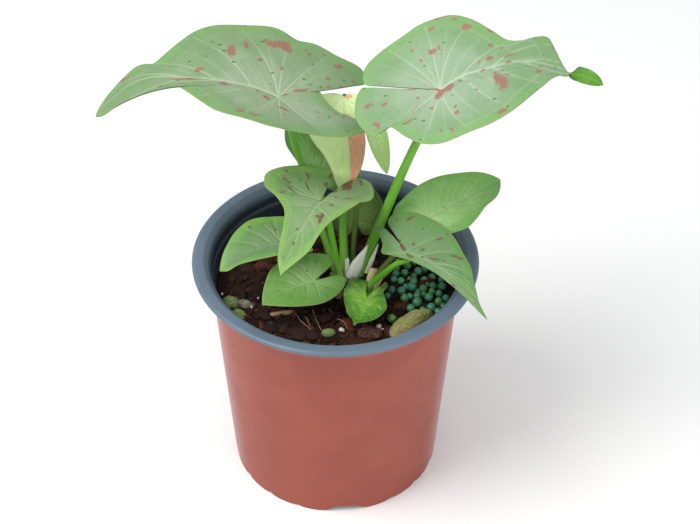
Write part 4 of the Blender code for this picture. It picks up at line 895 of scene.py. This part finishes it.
def make_sheath(name, points, half_widths, cup, finish, seed):
    """cupped strip along a curve: an arc across, as wide as the half widths say and ragged
    at its end, 0.4 mm thick"""
    samples, columns = 50, 15
    path = through(points, samples)
    share = np.linspace(0, 1, samples)
    half = np.interp(share, [0, 0.5, 1], half_widths)
    ahead, across, other = carried(path, (0.0, 1.0, 0.0))
    s = np.linspace(-1, 1, columns)
    bend = math.radians(cup)
    offset = np.sin(s * bend) / math.sin(bend)
    depth = (np.cos(s * bend) - math.cos(bend)) / math.sin(bend)
    ragged = 0.12 * cloudy(s * 7 + 50, s * 0 + seed, 2.0, seed)
    stretch = (ragged[None, :] * share[:, None] ** 6 * np.linalg.norm(path[-1] - path[0]))
    sheets = []
    for inset in (0.0, 0.4):
        ring = (path[:, None] + ahead[:, None] * stretch[..., None]
                + across[:, None] * (half[:, None] * offset[None])[..., None]
                - other[:, None] * (half[:, None] * depth[None] - inset)[..., None])
        sheets.append(ring.reshape(-1, 3))
    total = samples * columns
    over = grid_faces(samples, columns, False)
    index = np.arange(total).reshape(samples, columns)
    loop = np.concatenate([index[0], index[1:, -1], index[-1, -2::-1], index[-2:0:-1, 0]])
    after = np.roll(loop, -1)
    band = np.stack([loop, after, total + after, total + loop], 1)
    faces = over.tolist() + (total + over)[:, ::-1].tolist() + band[:, ::-1].tolist()
    side = np.tile(np.abs(np.tile(s, samples)), 2)
    run = share * np.linalg.norm(path[-1] - path[0]) / 100
    uv = np.tile(np.stack([np.repeat(run, columns), (half[:, None] * s[None]).ravel() / 100], 1), (2, 1))
    return new_piece(name, to_metres(np.vstack(sheets)), faces, [finish], None, {"side": side}, {"flat": uv})


# ---------------------------------------------------------------- pot
RIM_RADIUS = 60.0
RIM_INNER_RADIUS = 54.3
LIP_DEPTH = 2.4
BODY_TOP_RADIUS = 53.3
FOOT_RADIUS = 45.5
WALL = 1.3
STACKING_RING_DROP = 9.0
FLOOR_UNDERSIDE = 3.0
FLOOR_THICKNESS = 1.4
BOSS_RADIUS = 9.0
FEET = 20
SLOT_EVERY = 5
FIRST_SLOT_TURN = 267.2
NOTCH = 1.5
DRAIN_SLOT = 3.0
DRAIN_HOLES = 6
DRAIN_HOLE_RADIUS = 3.5
DRAIN_HOLE_RING = 29.0
POT_TURNS = 320


def rounded(points, radius, arc=5):
    """a line of straight runs with each corner swapped for a short curve that starts and
    ends radius away from it, or half a run away where the run is shorter"""
    points = np.asarray(points, float)
    out = [points[0]]
    for before, corner, after in zip(points[:-2], points[1:-1], points[2:]):
        back, ahead = before - corner, after - corner
        start = corner + back * min(0.45, radius / np.linalg.norm(back))
        end = corner + ahead * min(0.45, radius / np.linalg.norm(ahead))
        for t in np.linspace(0, 1, arc):
            out.append((1 - t) ** 2 * start + 2 * t * (1 - t) * corner + t * t * end)
    return np.vstack(out + [points[-1]])


def foot_lift(turn):
    """height of the skirt's lower edge round the pot: each foot is a shallow arc that rises
    to its neighbours, and every fifth is cut away as a taller slot with sloping ends"""
    pitch = 360.0 / FEET
    step_on = (turn - FIRST_SLOT_TURN) % 360.0
    foot = np.floor(step_on / pitch)
    place_on = step_on - foot * pitch
    from_middle = np.abs(place_on - pitch / 2) / (pitch / 2)
    arc = NOTCH * from_middle ** 4
    ramp = np.clip(np.minimum(place_on, pitch - place_on) / 3.4, 0, 1)
    slot = NOTCH + (DRAIN_SLOT - NOTCH) * ramp * ramp * (3 - 2 * ramp)
    return np.where(foot % SLOT_EVERY == 0, slot, arc)


def make_pot(outside, inside):
    """profile of the wall turned about the axis, from the boss under the floor, over the
    skirt, wall and rolled rim, and down the inside to the floor"""
    ring_height = RIM_TOP / MM - STACKING_RING_DROP
    rim = RIM_TOP / MM
    floor_top = FLOOR_UNDERSIDE + FLOOR_THICKNESS
    under = rounded([(0.4, 0), (BOSS_RADIUS, 0), (BOSS_RADIUS, FLOOR_UNDERSIDE),
                     (FOOT_RADIUS - WALL, FLOOR_UNDERSIDE + 0.6)], 0.3)
    wall = rounded([(FOOT_RADIUS, 0), (FOOT_RADIUS + 0.3, 5), (BODY_TOP_RADIUS - 0.9, ring_height - 1.2),
                    (BODY_TOP_RADIUS - 0.4, ring_height), (BODY_TOP_RADIUS, rim - LIP_DEPTH - 1.3),
                    (BODY_TOP_RADIUS + 0.7, rim - LIP_DEPTH), (RIM_RADIUS - 1.3, rim - LIP_DEPTH)], 0.5)
    lip = rounded([(RIM_RADIUS - 1.3, rim - LIP_DEPTH), (RIM_RADIUS, rim - LIP_DEPTH + 0.5),
                   (RIM_RADIUS, rim - 0.7), (RIM_RADIUS - 1.2, rim), (RIM_INNER_RADIUS + 0.9, rim),
                   (RIM_INNER_RADIUS, rim - 0.8), (BODY_TOP_RADIUS - 0.3, rim - 2.0),
                   (BODY_TOP_RADIUS - 1.3, rim - 4.3), (BODY_TOP_RADIUS - 1.5, ring_height + 1.4),
                   (BODY_TOP_RADIUS - 2.4, ring_height + 0.4), (BODY_TOP_RADIUS - 2.6, ring_height - 1.2),
                   (FOOT_RADIUS - WALL + 0.3, floor_top), (0.4, floor_top)], 0.7)
    tall = np.linspace(0, 1, 26)[1:-1, None]
    low, high = wall[5], wall[6]
    wall = np.vstack([wall[:6], low + (high - low) * tall, wall[6:]])
    skirt_in = np.array([[FOOT_RADIUS - WALL, 0.0]])
    profile = np.vstack([under, skirt_in, wall[:-1], lip])
    skirt = np.zeros(len(profile))
    skirt[len(under):len(under) + 2] = 1.0
    blue = np.zeros(len(profile), int)
    blue[len(under) + len(wall):] = 1
    turn = np.arange(POT_TURNS) * 360.0 / POT_TURNS
    lift = foot_lift(turn)
    radius, height = profile[:, 0][:, None], profile[:, 1][:, None] + skirt[:, None] * lift[None]
    angle = np.radians(turn)[None]
    verts = np.stack([radius * np.cos(angle), radius * np.sin(angle), height + 0 * angle], -1).reshape(-1, 3)
    rows = len(profile)
    faces = grid_faces(rows, POT_TURNS)
    kind = np.repeat(blue[:-1], POT_TURNS)
    ends = [list(range(POT_TURNS))[::-1], list(range((rows - 1) * POT_TURNS, rows * POT_TURNS))]
    kind = np.concatenate([kind, [0, 1]])
    pot = new_piece("pot_shell", verts * MM, faces.tolist() + ends, [outside, inside], kind)
    pot.data.set_sharp_from_angle(angle=math.radians(50))
    bore_drain_holes(pot, floor_top)
    return pot


def bore_drain_holes(pot, floor_top):
    """six round holes through the pot's floor"""
    angle = np.radians(np.arange(DRAIN_HOLES) * 60.0 + 30.0)
    lap = np.arange(24) * 2 * math.pi / 24
    shells = []
    for a in angle:
        ring = np.stack([DRAIN_HOLE_RING * math.cos(a) + DRAIN_HOLE_RADIUS * np.cos(lap),
                         DRAIN_HOLE_RING * math.sin(a) + DRAIN_HOLE_RADIUS * np.sin(lap)], 1)
        low = np.column_stack([ring, np.full(24, FLOOR_UNDERSIDE - 2)])
        high = np.column_stack([ring, np.full(24, floor_top + 2)])
        faces = grid_faces(2, 24).tolist() + [list(range(24))[::-1], list(range(24, 48))]
        shells.append((np.vstack([low, high]), faces, np.zeros((48, 2))))
    verts, faces, uv = gather(shells)
    bits = new_piece("drain_bits", verts * MM, faces, [])
    bore = pot.modifiers.new("drain holes", "BOOLEAN")
    bore.operation = "DIFFERENCE"
    bore.solver = "EXACT"
    bore.object = bits
    graph = bpy.context.evaluated_depsgraph_get()
    holed = bpy.data.meshes.new_from_object(pot.evaluated_get(graph))
    pot.modifiers.clear()
    pot.data = holed
    bpy.data.objects.remove(bits, do_unlink=True)


# ---------------------------------------------------------------- soil and what lies on it
SOIL_DEPTH = 15.0
SOIL_CROWN_RISE = 2.2


def soil_level(x, y):
    """mean height of the soil over the rim: higher round the stems"""
    return -SOIL_DEPTH + SOIL_CROWN_RISE * np.exp(-(x * x + y * y) / 500.0)


def soil_top(x, y):
    """soil level with clods of 9 mm, lumps of 3 mm and grit of 1 mm"""
    clods = 1.1 * rough_field(x + 120, y + 120, 9.0, 41, 2)
    lumps = 0.9 * np.abs(rough_field(x + 220, y + 90, 3.4, 43, 3))
    grit = 0.28 * cloudy(x + 300, y + 300, 1.1, 47)
    dish = 0.5 * np.clip((np.hypot(x, y) - 40) / 9, 0, 1)
    return soil_level(x, y) + clods + lumps + grit - dish


def wall_inner_radius(z):
    """inner radius of the pot at a height over its feet"""
    low, high = FLOOR_UNDERSIDE + FLOOR_THICKNESS, RIM_TOP / MM - STACKING_RING_DROP - 1.2
    bottom, top = FOOT_RADIUS - WALL + 0.3, BODY_TOP_RADIUS - 2.6
    return bottom + (top - bottom) * (z - low) / (high - low)


def make_soil(finish):
    """rings of points across the pot at the soil's height, then the wall of the root ball"""
    rings, turns = 96, 300
    edge = wall_inner_radius(RIM_TOP / MM - SOIL_DEPTH) - 0.15
    radius = edge * np.linspace(0, 1, rings + 1)[1:, None]
    angle = (np.arange(turns) * 2 * math.pi / turns)[None]
    x, y = (radius * np.cos(angle)).ravel(), (radius * np.sin(angle)).ravel()
    top = np.stack([x, y, soil_top(x, y)], 1)
    low = RIM_TOP / MM - FLOOR_UNDERSIDE - FLOOR_THICKNESS - 0.3
    foot = wall_inner_radius(RIM_TOP / MM - low) - 0.3
    angle = angle[0]
    base = np.stack([foot * np.cos(angle), foot * np.sin(angle), np.full(turns, -low)], 1)
    verts = np.vstack([[[0, 0, soil_top(np.zeros(1), np.zeros(1))[0]]], top, base])
    hub = np.stack([np.zeros(turns, int), 1 + np.arange(turns), 1 + (np.arange(turns) + 1) % turns], 1)
    quads = grid_faces(rings + 1, turns) + 1
    quads = quads[:, [0, 3, 2, 1]]
    faces = hub.tolist() + quads.tolist() + [(1 + rings * turns + np.arange(turns))[::-1].tolist()]
    warm = 0.8 + 0.5 * cloudy(verts[:, 0] + 60, verts[:, 1] + 60, 6.0, 51)
    tint = np.stack([warm, warm * 0.94, warm * 0.92], 1)
    return new_piece("soil_surface", to_metres(verts), faces, [finish], None, {"tint": tint})


LUMP_PHASES = np.random.default_rng(5).uniform(0, 6.28, (3, 6))


def lump_shells(centres, radii, turns, tints, segments=8, rings=6, rough=0.2, seed=1):
    """many small rough balls at once: a ball's grid times each one's half widths, turned
    about Z, with radii that swell and sink by sines of the direction"""
    rng = np.random.default_rng(seed)
    unit, faces = ball_arrays((0, 0, 0), (1, 1, 1), segments, rings)
    count, size = len(centres), len(unit)
    ways = rng.normal(size=(count, 3, 5)) * 2.2
    phase = rng.uniform(0, 6.28, (count, 1, 5))
    swell = 1 + rough * np.sin(unit[None] @ ways + phase).sum(2) / 2
    points = unit[None] * swell[..., None] * np.asarray(radii)[:, None]
    c, s = np.cos(turns)[:, None], np.sin(turns)[:, None]
    x = points[..., 0] * c - points[..., 1] * s
    y = points[..., 0] * s + points[..., 1] * c
    points = np.stack([x, y, points[..., 2]], -1) + np.asarray(centres)[:, None]
    tri = [face + [face[-1]] if len(face) == 3 else face for face in faces]
    table = np.asarray(tri)[None] + (np.arange(count) * size)[:, None, None]
    listed = [face[:3] if face[2] == face[3] else face for face in table.reshape(-1, 4).tolist()]
    return points.reshape(-1, 3), listed, np.repeat(tints, size, 0)


def scatter(count, seed, inner=0.0):
    """random even spread over the soil's disc"""
    rng = np.random.default_rng(seed)
    radius = 47.6 * np.sqrt(rng.uniform((inner / 47.6) ** 2, 1, count))
    angle = rng.uniform(0, 2 * math.pi, count)
    return radius * np.cos(angle), radius * np.sin(angle), rng


def make_crumbs(finish):
    """peat crumbs and short bark bits, half sunk in the soil"""
    x, y, rng = scatter(1300, 61)
    size = np.exp(rng.normal(-0.05, 0.45, len(x))) * 0.75
    flatness = rng.uniform(0.45, 0.9, len(x))
    longness = rng.uniform(1.0, 2.1, len(x))
    radii = np.stack([size * longness, size, size * flatness], 1)
    centres = np.stack([x, y, soil_top(x, y) + 0.25 * size], 1)
    shade = rng.uniform(0.0, 1.0, len(x))[:, None] ** 2
    dark, light = np.array(srgb("1B0D08")[:3]), np.array(srgb("5A3020")[:3])
    verts, faces, tint = lump_shells(centres, radii, rng.uniform(0, 6.28, len(x)), dark + (light - dark) * shade,
                                     rough=0.22, seed=62)
    return new_piece("soil_crumbs", to_metres(verts), faces, [finish], None, {"tint": tint})


# Larger clods and bark pieces: place, half sizes, turn, colour.
CLODS = [
    ((9.0, -38.0), (7.5, 3.6, 2.2), 8, "3A1D12"), ((-14.0, -33.0), (7.4, 3.4, 1.9), -12, "2E1810"),
    ((-27.0, -31.0), (4.6, 3.0, 2.0), 25, "24120D"), ((-20.0, -12.0), (4.4, 2.8, 2.0), 60, "301810"),
    ((-31.0, -6.0), (5.6, 4.2, 2.2), 10, "2C150D"), ((22.0, -31.0), (3.2, 2.2, 1.8), -50, "402A1E"),
    ((27.4, -15.6), (3.6, 2.4, 1.4), 20, "4A2012"), ((30.5, 12.0), (5.0, 3.4, 2.2), 40, "281510"),
    ((14.0, 12.0), (5.2, 3.0, 2.4), 80, "4A3A30"), ((-8.0, 24.0), (5.0, 3.6, 2.2), 15, "2E1A12"),
    ((-28.0, 9.4), (7.6, 3.8, 2.2), 25, "5E2818"), ((-38.0, 8.0), (4.4, 3.2, 2.0), -20, "2E1810"),
    ((-4.0, -24.0), (3.6, 2.6, 1.8), 35, "32190F"), ((-34.0, -28.0), (3.6, 2.4, 1.8), 5, "22100A"),
    ((22.0, 34.0), (5.2, 3.4, 2.0), 10, "301A12"), ((1.0, 40.0), (5.0, 3.0, 2.0), 0, "2C1710"),
    ((-34.0, -12.6), (3.2, 2.0, 1.6), 30, "1A0D09"), ((5.0, -26.8), (3.4, 2.6, 1.8), -30, "5A2A16"),
]
PERLITE = [(3.2, -31.3, 1.0), (18.0, -29.3, 0.9), (19.6, -30.6, 0.5), (-34.7, -17.9, 0.45), (-32.3, -12.6, 0.5),
           (-26.1, -29.5, 0.55), (40.4, -1.0, 0.6), (-47.4, -9.6, 0.45), (24.6, 26.0, 0.8), (-12.0, 33.0, 0.7)]
STONES = {
    "mossy_stone_right": ((31.4, -27.4), (10.8, 5.0, 5.0), 42, 1),
    "mossy_pebble_left": ((-43.6, -14.6), (3.5, 3.0, 3.0), 20, 2),
    "mossy_pebble_front_left": ((-39.6, -22.0), (3.6, 2.3, 2.5), -40, 3),
    "grey_bark_chip": ((-37.2, -15.4), (4.4, 1.9, 2.2), -20, 4),
    "bark_splinter": ((-22.6, -20.9), (6.2, 1.2, 1.1), 12, 5),
    "green_pebble_front": ((-2.4, -32.4), (2.9, 2.0, 1.8), 5, 6),
    "brown_stone_front": ((14.2, -32.4), (5.4, 3.4, 2.4), 12, 7),
}
STONE_SINK = 0.45
# The grains of the heap: place and radius. The last ones lie under the leaf, out of sight.
BEADS = [
    (25.6, 2.7, 1.7), (29.3, 3.4, 1.6), (33.2, 1.4, 1.4), (27.6, -2.2, 1.75), (37.5, -1.4, 1.7), (32.1, -5.9, 2.0),
    (44.9, -5.1, 1.9), (41.0, -4.8, 1.7), (23.6, -8.1, 1.75), (27.7, -8.4, 1.8), (36.8, -6.9, 1.8),
    (21.8, -11.4, 1.4), (31.1, -11.4, 1.4), (34.2, -11.0, 1.6), (29.0, -12.8, 1.9), (39.1, -12.0, 1.9),
    (34.1, -15.4, 2.1), (43.0, -14.3, 1.8), (46.2, -12.2, 1.7), (31.4, -18.7, 1.8), (36.4, -19.2, 1.4),
    (39.9, -18.2, 2.0), (42.6, -20.0, 1.5), (45.0, -16.8, 1.5), (23.4, -24.9, 1.9), (26.1, 6.4, 1.5),
    (43.4, -9.4, 1.6), (37.0, -9.9, 1.3), (40.4, -8.2, 1.5), (29.6, -5.4, 1.3), (24.6, -1.0, 1.5), (33.0, -2.2, 1.6),
    (35.0, 4.6, 1.8), (40.8, 0.6, 1.8), (44.8, -0.6, 1.7), (30.6, 8.0, 1.8), (37.8, 6.4, 1.6), (26.6, 10.6, 1.6),
    (33.6, 11.4, 1.7), (42.4, 4.8, 1.6), (31.2, -0.6, 1.3), (38.4, -3.8, 1.3), (34.6, -8.4, 1.3),
]
BEAD_HEAP = (33.6, -6.4)
BEAD_RISE = 0.9


def lumpy_stone(name, finish, rough, pitted):
    """ball stretched to the stone's half sizes, its radius raised and sunk by cloudy fields
    of the direction, coarse and fine"""
    (x, y), half, turn, seed = STONES[name]

    def dent(unit):
        a, b, c = unit.T * 3.0
        coarse = cloudy(a + 40, b + 40, 2.2, seed) + cloudy(b + 70, c + 30, 2.0, seed + 20)
        fine = cloudy(a * 3 + 90, c * 3 + 60, 1.0, seed + 40) + cloudy(b * 5 + 20, c * 5 + 80, 1.0, seed + 60)
        return 1 + rough * 0.5 * coarse + pitted * 0.5 * fine

    verts, faces = ball_arrays((0, 0, 0), half, 96, 60, dent)
    spin = math.radians(turn)
    turned = np.stack([verts[:, 0] * math.cos(spin) - verts[:, 1] * math.sin(spin) + x,
                       verts[:, 0] * math.sin(spin) + verts[:, 1] * math.cos(spin) + y,
                       verts[:, 2] + soil_level(x, y) + half[2] * (1 - 2 * STONE_SINK)], 1)
    return new_piece(name + "_rough", to_metres(turned), faces, [finish])


def make_beads(finish):
    """round grains heaped on the soil, from blue-green to leaf green"""
    spots = np.array(BEADS)
    radii = spots[:, 2]
    rng = np.random.default_rng(71)
    heap = BEAD_RISE * np.exp(-((spots[:, 0] - BEAD_HEAP[0]) ** 2 + (spots[:, 1] - BEAD_HEAP[1]) ** 2) / 300.0)
    height = soil_level(spots[:, 0], spots[:, 1]) + heap + radii * 0.75
    teal, green, deep = (np.array(srgb(c)[:3]) for c in ("3E8A6A", "62983E", "1E5A40"))
    pick, other = rng.uniform(0, 1, (2, len(spots), 1))
    tint = teal + (green - teal) * pick ** 2.5
    tint = tint + (deep - tint) * other ** 2 * 0.7
    centres = np.column_stack([spots[:, :2], height])
    verts, faces, tint = lump_shells(centres, np.repeat(radii[:, None], 3, 1), rng.uniform(0, 6.28, len(spots)),
                                     tint, 24, 16, 0.02, 72)
    return new_piece("fertiliser_bead_heap", to_metres(verts), faces, [finish], None, {"tint": tint})


ROOTLETS = [
    [(-16.4, -22.3), (-13.9, -27.6), (-9.6, -31.8)], [(-12.3, -24.6), (-10.4, -28.4), (-8.1, -31.5)],
    [(-9.2, -19.9), (-7.9, -26.1), (-5.4, -32.0)], [(-2.6, -20.0), (-1.4, -21.4), (-0.2, -22.5)],
    [(0.8, -24.8), (3.4, -27.6), (5.4, -31.6)], [(10.5, 8.0), (14.0, 11.0), (17.0, 12.0)],
    [(9.0, 11.0), (13.0, 14.5), (18.0, 16.0)], [(-30.0, -2.0), (-31.4, -7.0), (-30.0, -11.0)],
]


def make_rootlets(finish):
    """thread roots that lie on the soil and arch a little over it"""
    shells = []
    for k, line in enumerate(ROOTLETS):
        flat = through(line, 12)
        height = soil_top(flat[:, 0], flat[:, 1]) * 0.5 + soil_level(flat[:, 0], flat[:, 1]) * 0.5
        arch = 1.0 + 1.0 * np.sin(np.linspace(0, math.pi, 12) * (1 + k % 2))
        points = np.column_stack([flat, height + arch])
        shells.append(stalk_arrays(points, 0.36, 0.24, 40, 8))
    verts, faces, uv = gather(shells)
    tint = np.tile(np.array(srgb("B08C70")[:3]), (len(verts), 1))
    return new_piece("rootlets", to_metres(verts), faces, [finish], None, {"tint": tint})


# ---------------------------------------------------------------- light and floor
def add_area_light(name, where, aim, size, watts, colour):
    lamp = bpy.data.lights.new(name, "AREA")
    lamp.shape = "DISK"
    lamp.size = size
    lamp.energy = watts
    lamp.color = colour
    seat = bpy.data.objects.new(name, lamp)
    seat.location = where
    seat.rotation_euler = (Vector(aim) - Vector(where)).to_track_quat("-Z", "Y").to_euler()
    bpy.context.scene.collection.objects.link(seat)


def add_studio():
    world = bpy.data.worlds.new("studio")
    world.use_nodes = True
    sky = world.node_tree.nodes["Background"]
    sky.inputs["Color"].default_value = (0.96, 0.98, 1.0, 1.0)
    sky.inputs["Strength"].default_value = 0.72
    bpy.context.scene.world = world
    bpy.context.scene.view_settings.view_transform = "Standard"
    centre = (0, 0, 0.12)
    add_area_light("soft box over the left", (-0.55, -0.25, 0.95), centre, 0.7, 9.0, (1.0, 0.99, 0.97))
    add_area_light("fill from the front right", (0.7, -0.7, 0.5), centre, 0.8, 3.0, (0.98, 0.99, 1.0))
    finish, shader = new_material("matt white paper", Roughness=0.9)
    where = node(finish, "TexCoord", None, "Object")
    fibres = node(finish, "TexNoise", Vector=where, Scale=OBJECT_MM / 2)
    colour = node(finish, "Mix", COLOURS, 2, i0=fibres, i6=srgb("F6F6F5"), i7=srgb("F2F2F1"))
    set_inputs(finish, shader, {"Base Color": colour})
    reach = 4.0
    corners = [(-reach, -reach, 0), (reach, -reach, 0), (reach, reach, 0), (-reach, reach, 0)]
    floor = new_piece("floor", corners, [(0, 1, 2, 3)], [finish])


def build():
    add_camera()
    add_studio()
    bright = underside_finish("bright leaf underside", "64A028", "478416", "8CC052", 0.38)
    dull = underside_finish("matt leaf underside", "86A86E", "74975C", "A6C28C", 0.5)
    for name, look in LEAF_LOOKS.items():
        finish = leaf_finish("upper face of " + name.replace("_", " "), *look)
        under = bright if name == "leaf_upper_right" else dull
        crumple = 2.2 if name == "leaf_low_front" else 0.0
        place(make_leaf(name, finish, under, crumple), name)
    stalk = stalk_finish()
    for name in STALKS:
        place(make_shoot(name, stalk), name)
    papery = sheath_finish("papery white sheath", "E6EADC", "F6F6F0", 0.5)
    dry = sheath_finish("dry cream sheath", "B9AC70", "DAD09A", 0.7)
    for seed, (name, (points, widths, cup)) in enumerate(SHEATHS.items()):
        place(make_sheath(name, points, widths, cup, papery, 11 + seed), None, "shoot_main")
    for seed, (name, (points, widths, cup)) in enumerate(DRY_SHEATHS.items()):
        place(make_sheath(name, points, widths, cup, dry, 21 + seed), None, "shoot_right")
    # B89A9C and 9AAABA are painted sheen for the pot's curving edges.
    terracotta = pot_finish("terracotta polypropylene", "964331", "8E3D2C", "C08A78", "B89A9C", 0.42)
    # 1E2A34 is painted shade inside the pot, below the lip.
    slate = pot_finish("slate blue polypropylene", "5C6D7D", "536474", "98A4AC", "9AAABA", 0.36, "1E2A34")
    place(make_pot(terracotta, slate), "pot")
    peat = soil_finish()
    place(make_soil(peat), "soil")
    crumb = tinted_finish("peat crumb", 0.75, 0.0, 0.25, "120805", 0.6, 0.3)
    place(make_crumbs(crumb), None, "soil")
    clod_places = np.array([c for c, half, turn, colour in CLODS], float)
    clod_radii = np.array([half for c, half, turn, colour in CLODS])
    clod_height = soil_level(clod_places[:, 0], clod_places[:, 1]) + 0.2
    clod_tints = np.array([srgb(colour)[:3] for c, half, turn, colour in CLODS])
    clod_turns = np.radians([turn for c, half, turn, colour in CLODS])
    verts, faces, tint = lump_shells(np.column_stack([clod_places, clod_height]), clod_radii, clod_turns,
                                     clod_tints, 40, 26, 0.10, 81)
    clods = new_piece("soil_clods", to_metres(verts), faces, [crumb], None, {"tint": tint})
    place(clods, None, "soil")
    grit = np.array(PERLITE)
    height = soil_level(grit[:, 0], grit[:, 1]) + 1.0
    verts, faces, tint = lump_shells(np.column_stack([grit[:, :2], height]), np.repeat(grit[:, 2:], 3, 1),
                                     grit[:, 0], np.tile(srgb("E6E2D6")[:3], (len(grit), 1)), 14, 9, 0.3, 83)
    perlite = tinted_finish("expanded perlite", 0.9, 0.0, 0.4, "A09684", 0.5, 0.3)
    place(new_piece("perlite_grains", to_metres(verts), faces, [perlite], None, {"tint": tint}), None, "soil")
    place(make_rootlets(crumb), None, "soil")
    moss = mossy_finish("mossy tan stone", "A79A6C", "8A9248", "4E4A2A")
    green_moss = mossy_finish("green mossy pebble", "7E8C5A", "6C9440", "36401E")
    brown = mossy_finish("brown porous stone", "5E3B2B", "4A2A20", "23130D")
    bark = mossy_finish("weathered grey bark", "8D867A", "6F6759", "3C352C")
    tan = mossy_finish("split tan bark", "A58466", "8A6A50", "4A3424")
    looks = {"mossy_stone_right": (moss, 0.16, 0.05), "mossy_pebble_left": (green_moss, 0.2, 0.08),
             "mossy_pebble_front_left": (green_moss, 0.2, 0.08), "grey_bark_chip": (bark, 0.2, 0.1),
             "bark_splinter": (tan, 0.14, 0.08), "green_pebble_front": (green_moss, 0.16, 0.06),
             "brown_stone_front": (brown, 0.2, 0.08)}
    for name, (finish, rough, pitted) in looks.items():
        place(lumpy_stone(name, finish, rough, pitted), name)
    bead = tinted_finish("resin coated fertiliser grain", 0.34, 0.35, 0.5, "1E4E36", 1.6, 0.05)
    place(make_beads(bead), "fertiliser_beads")


build()
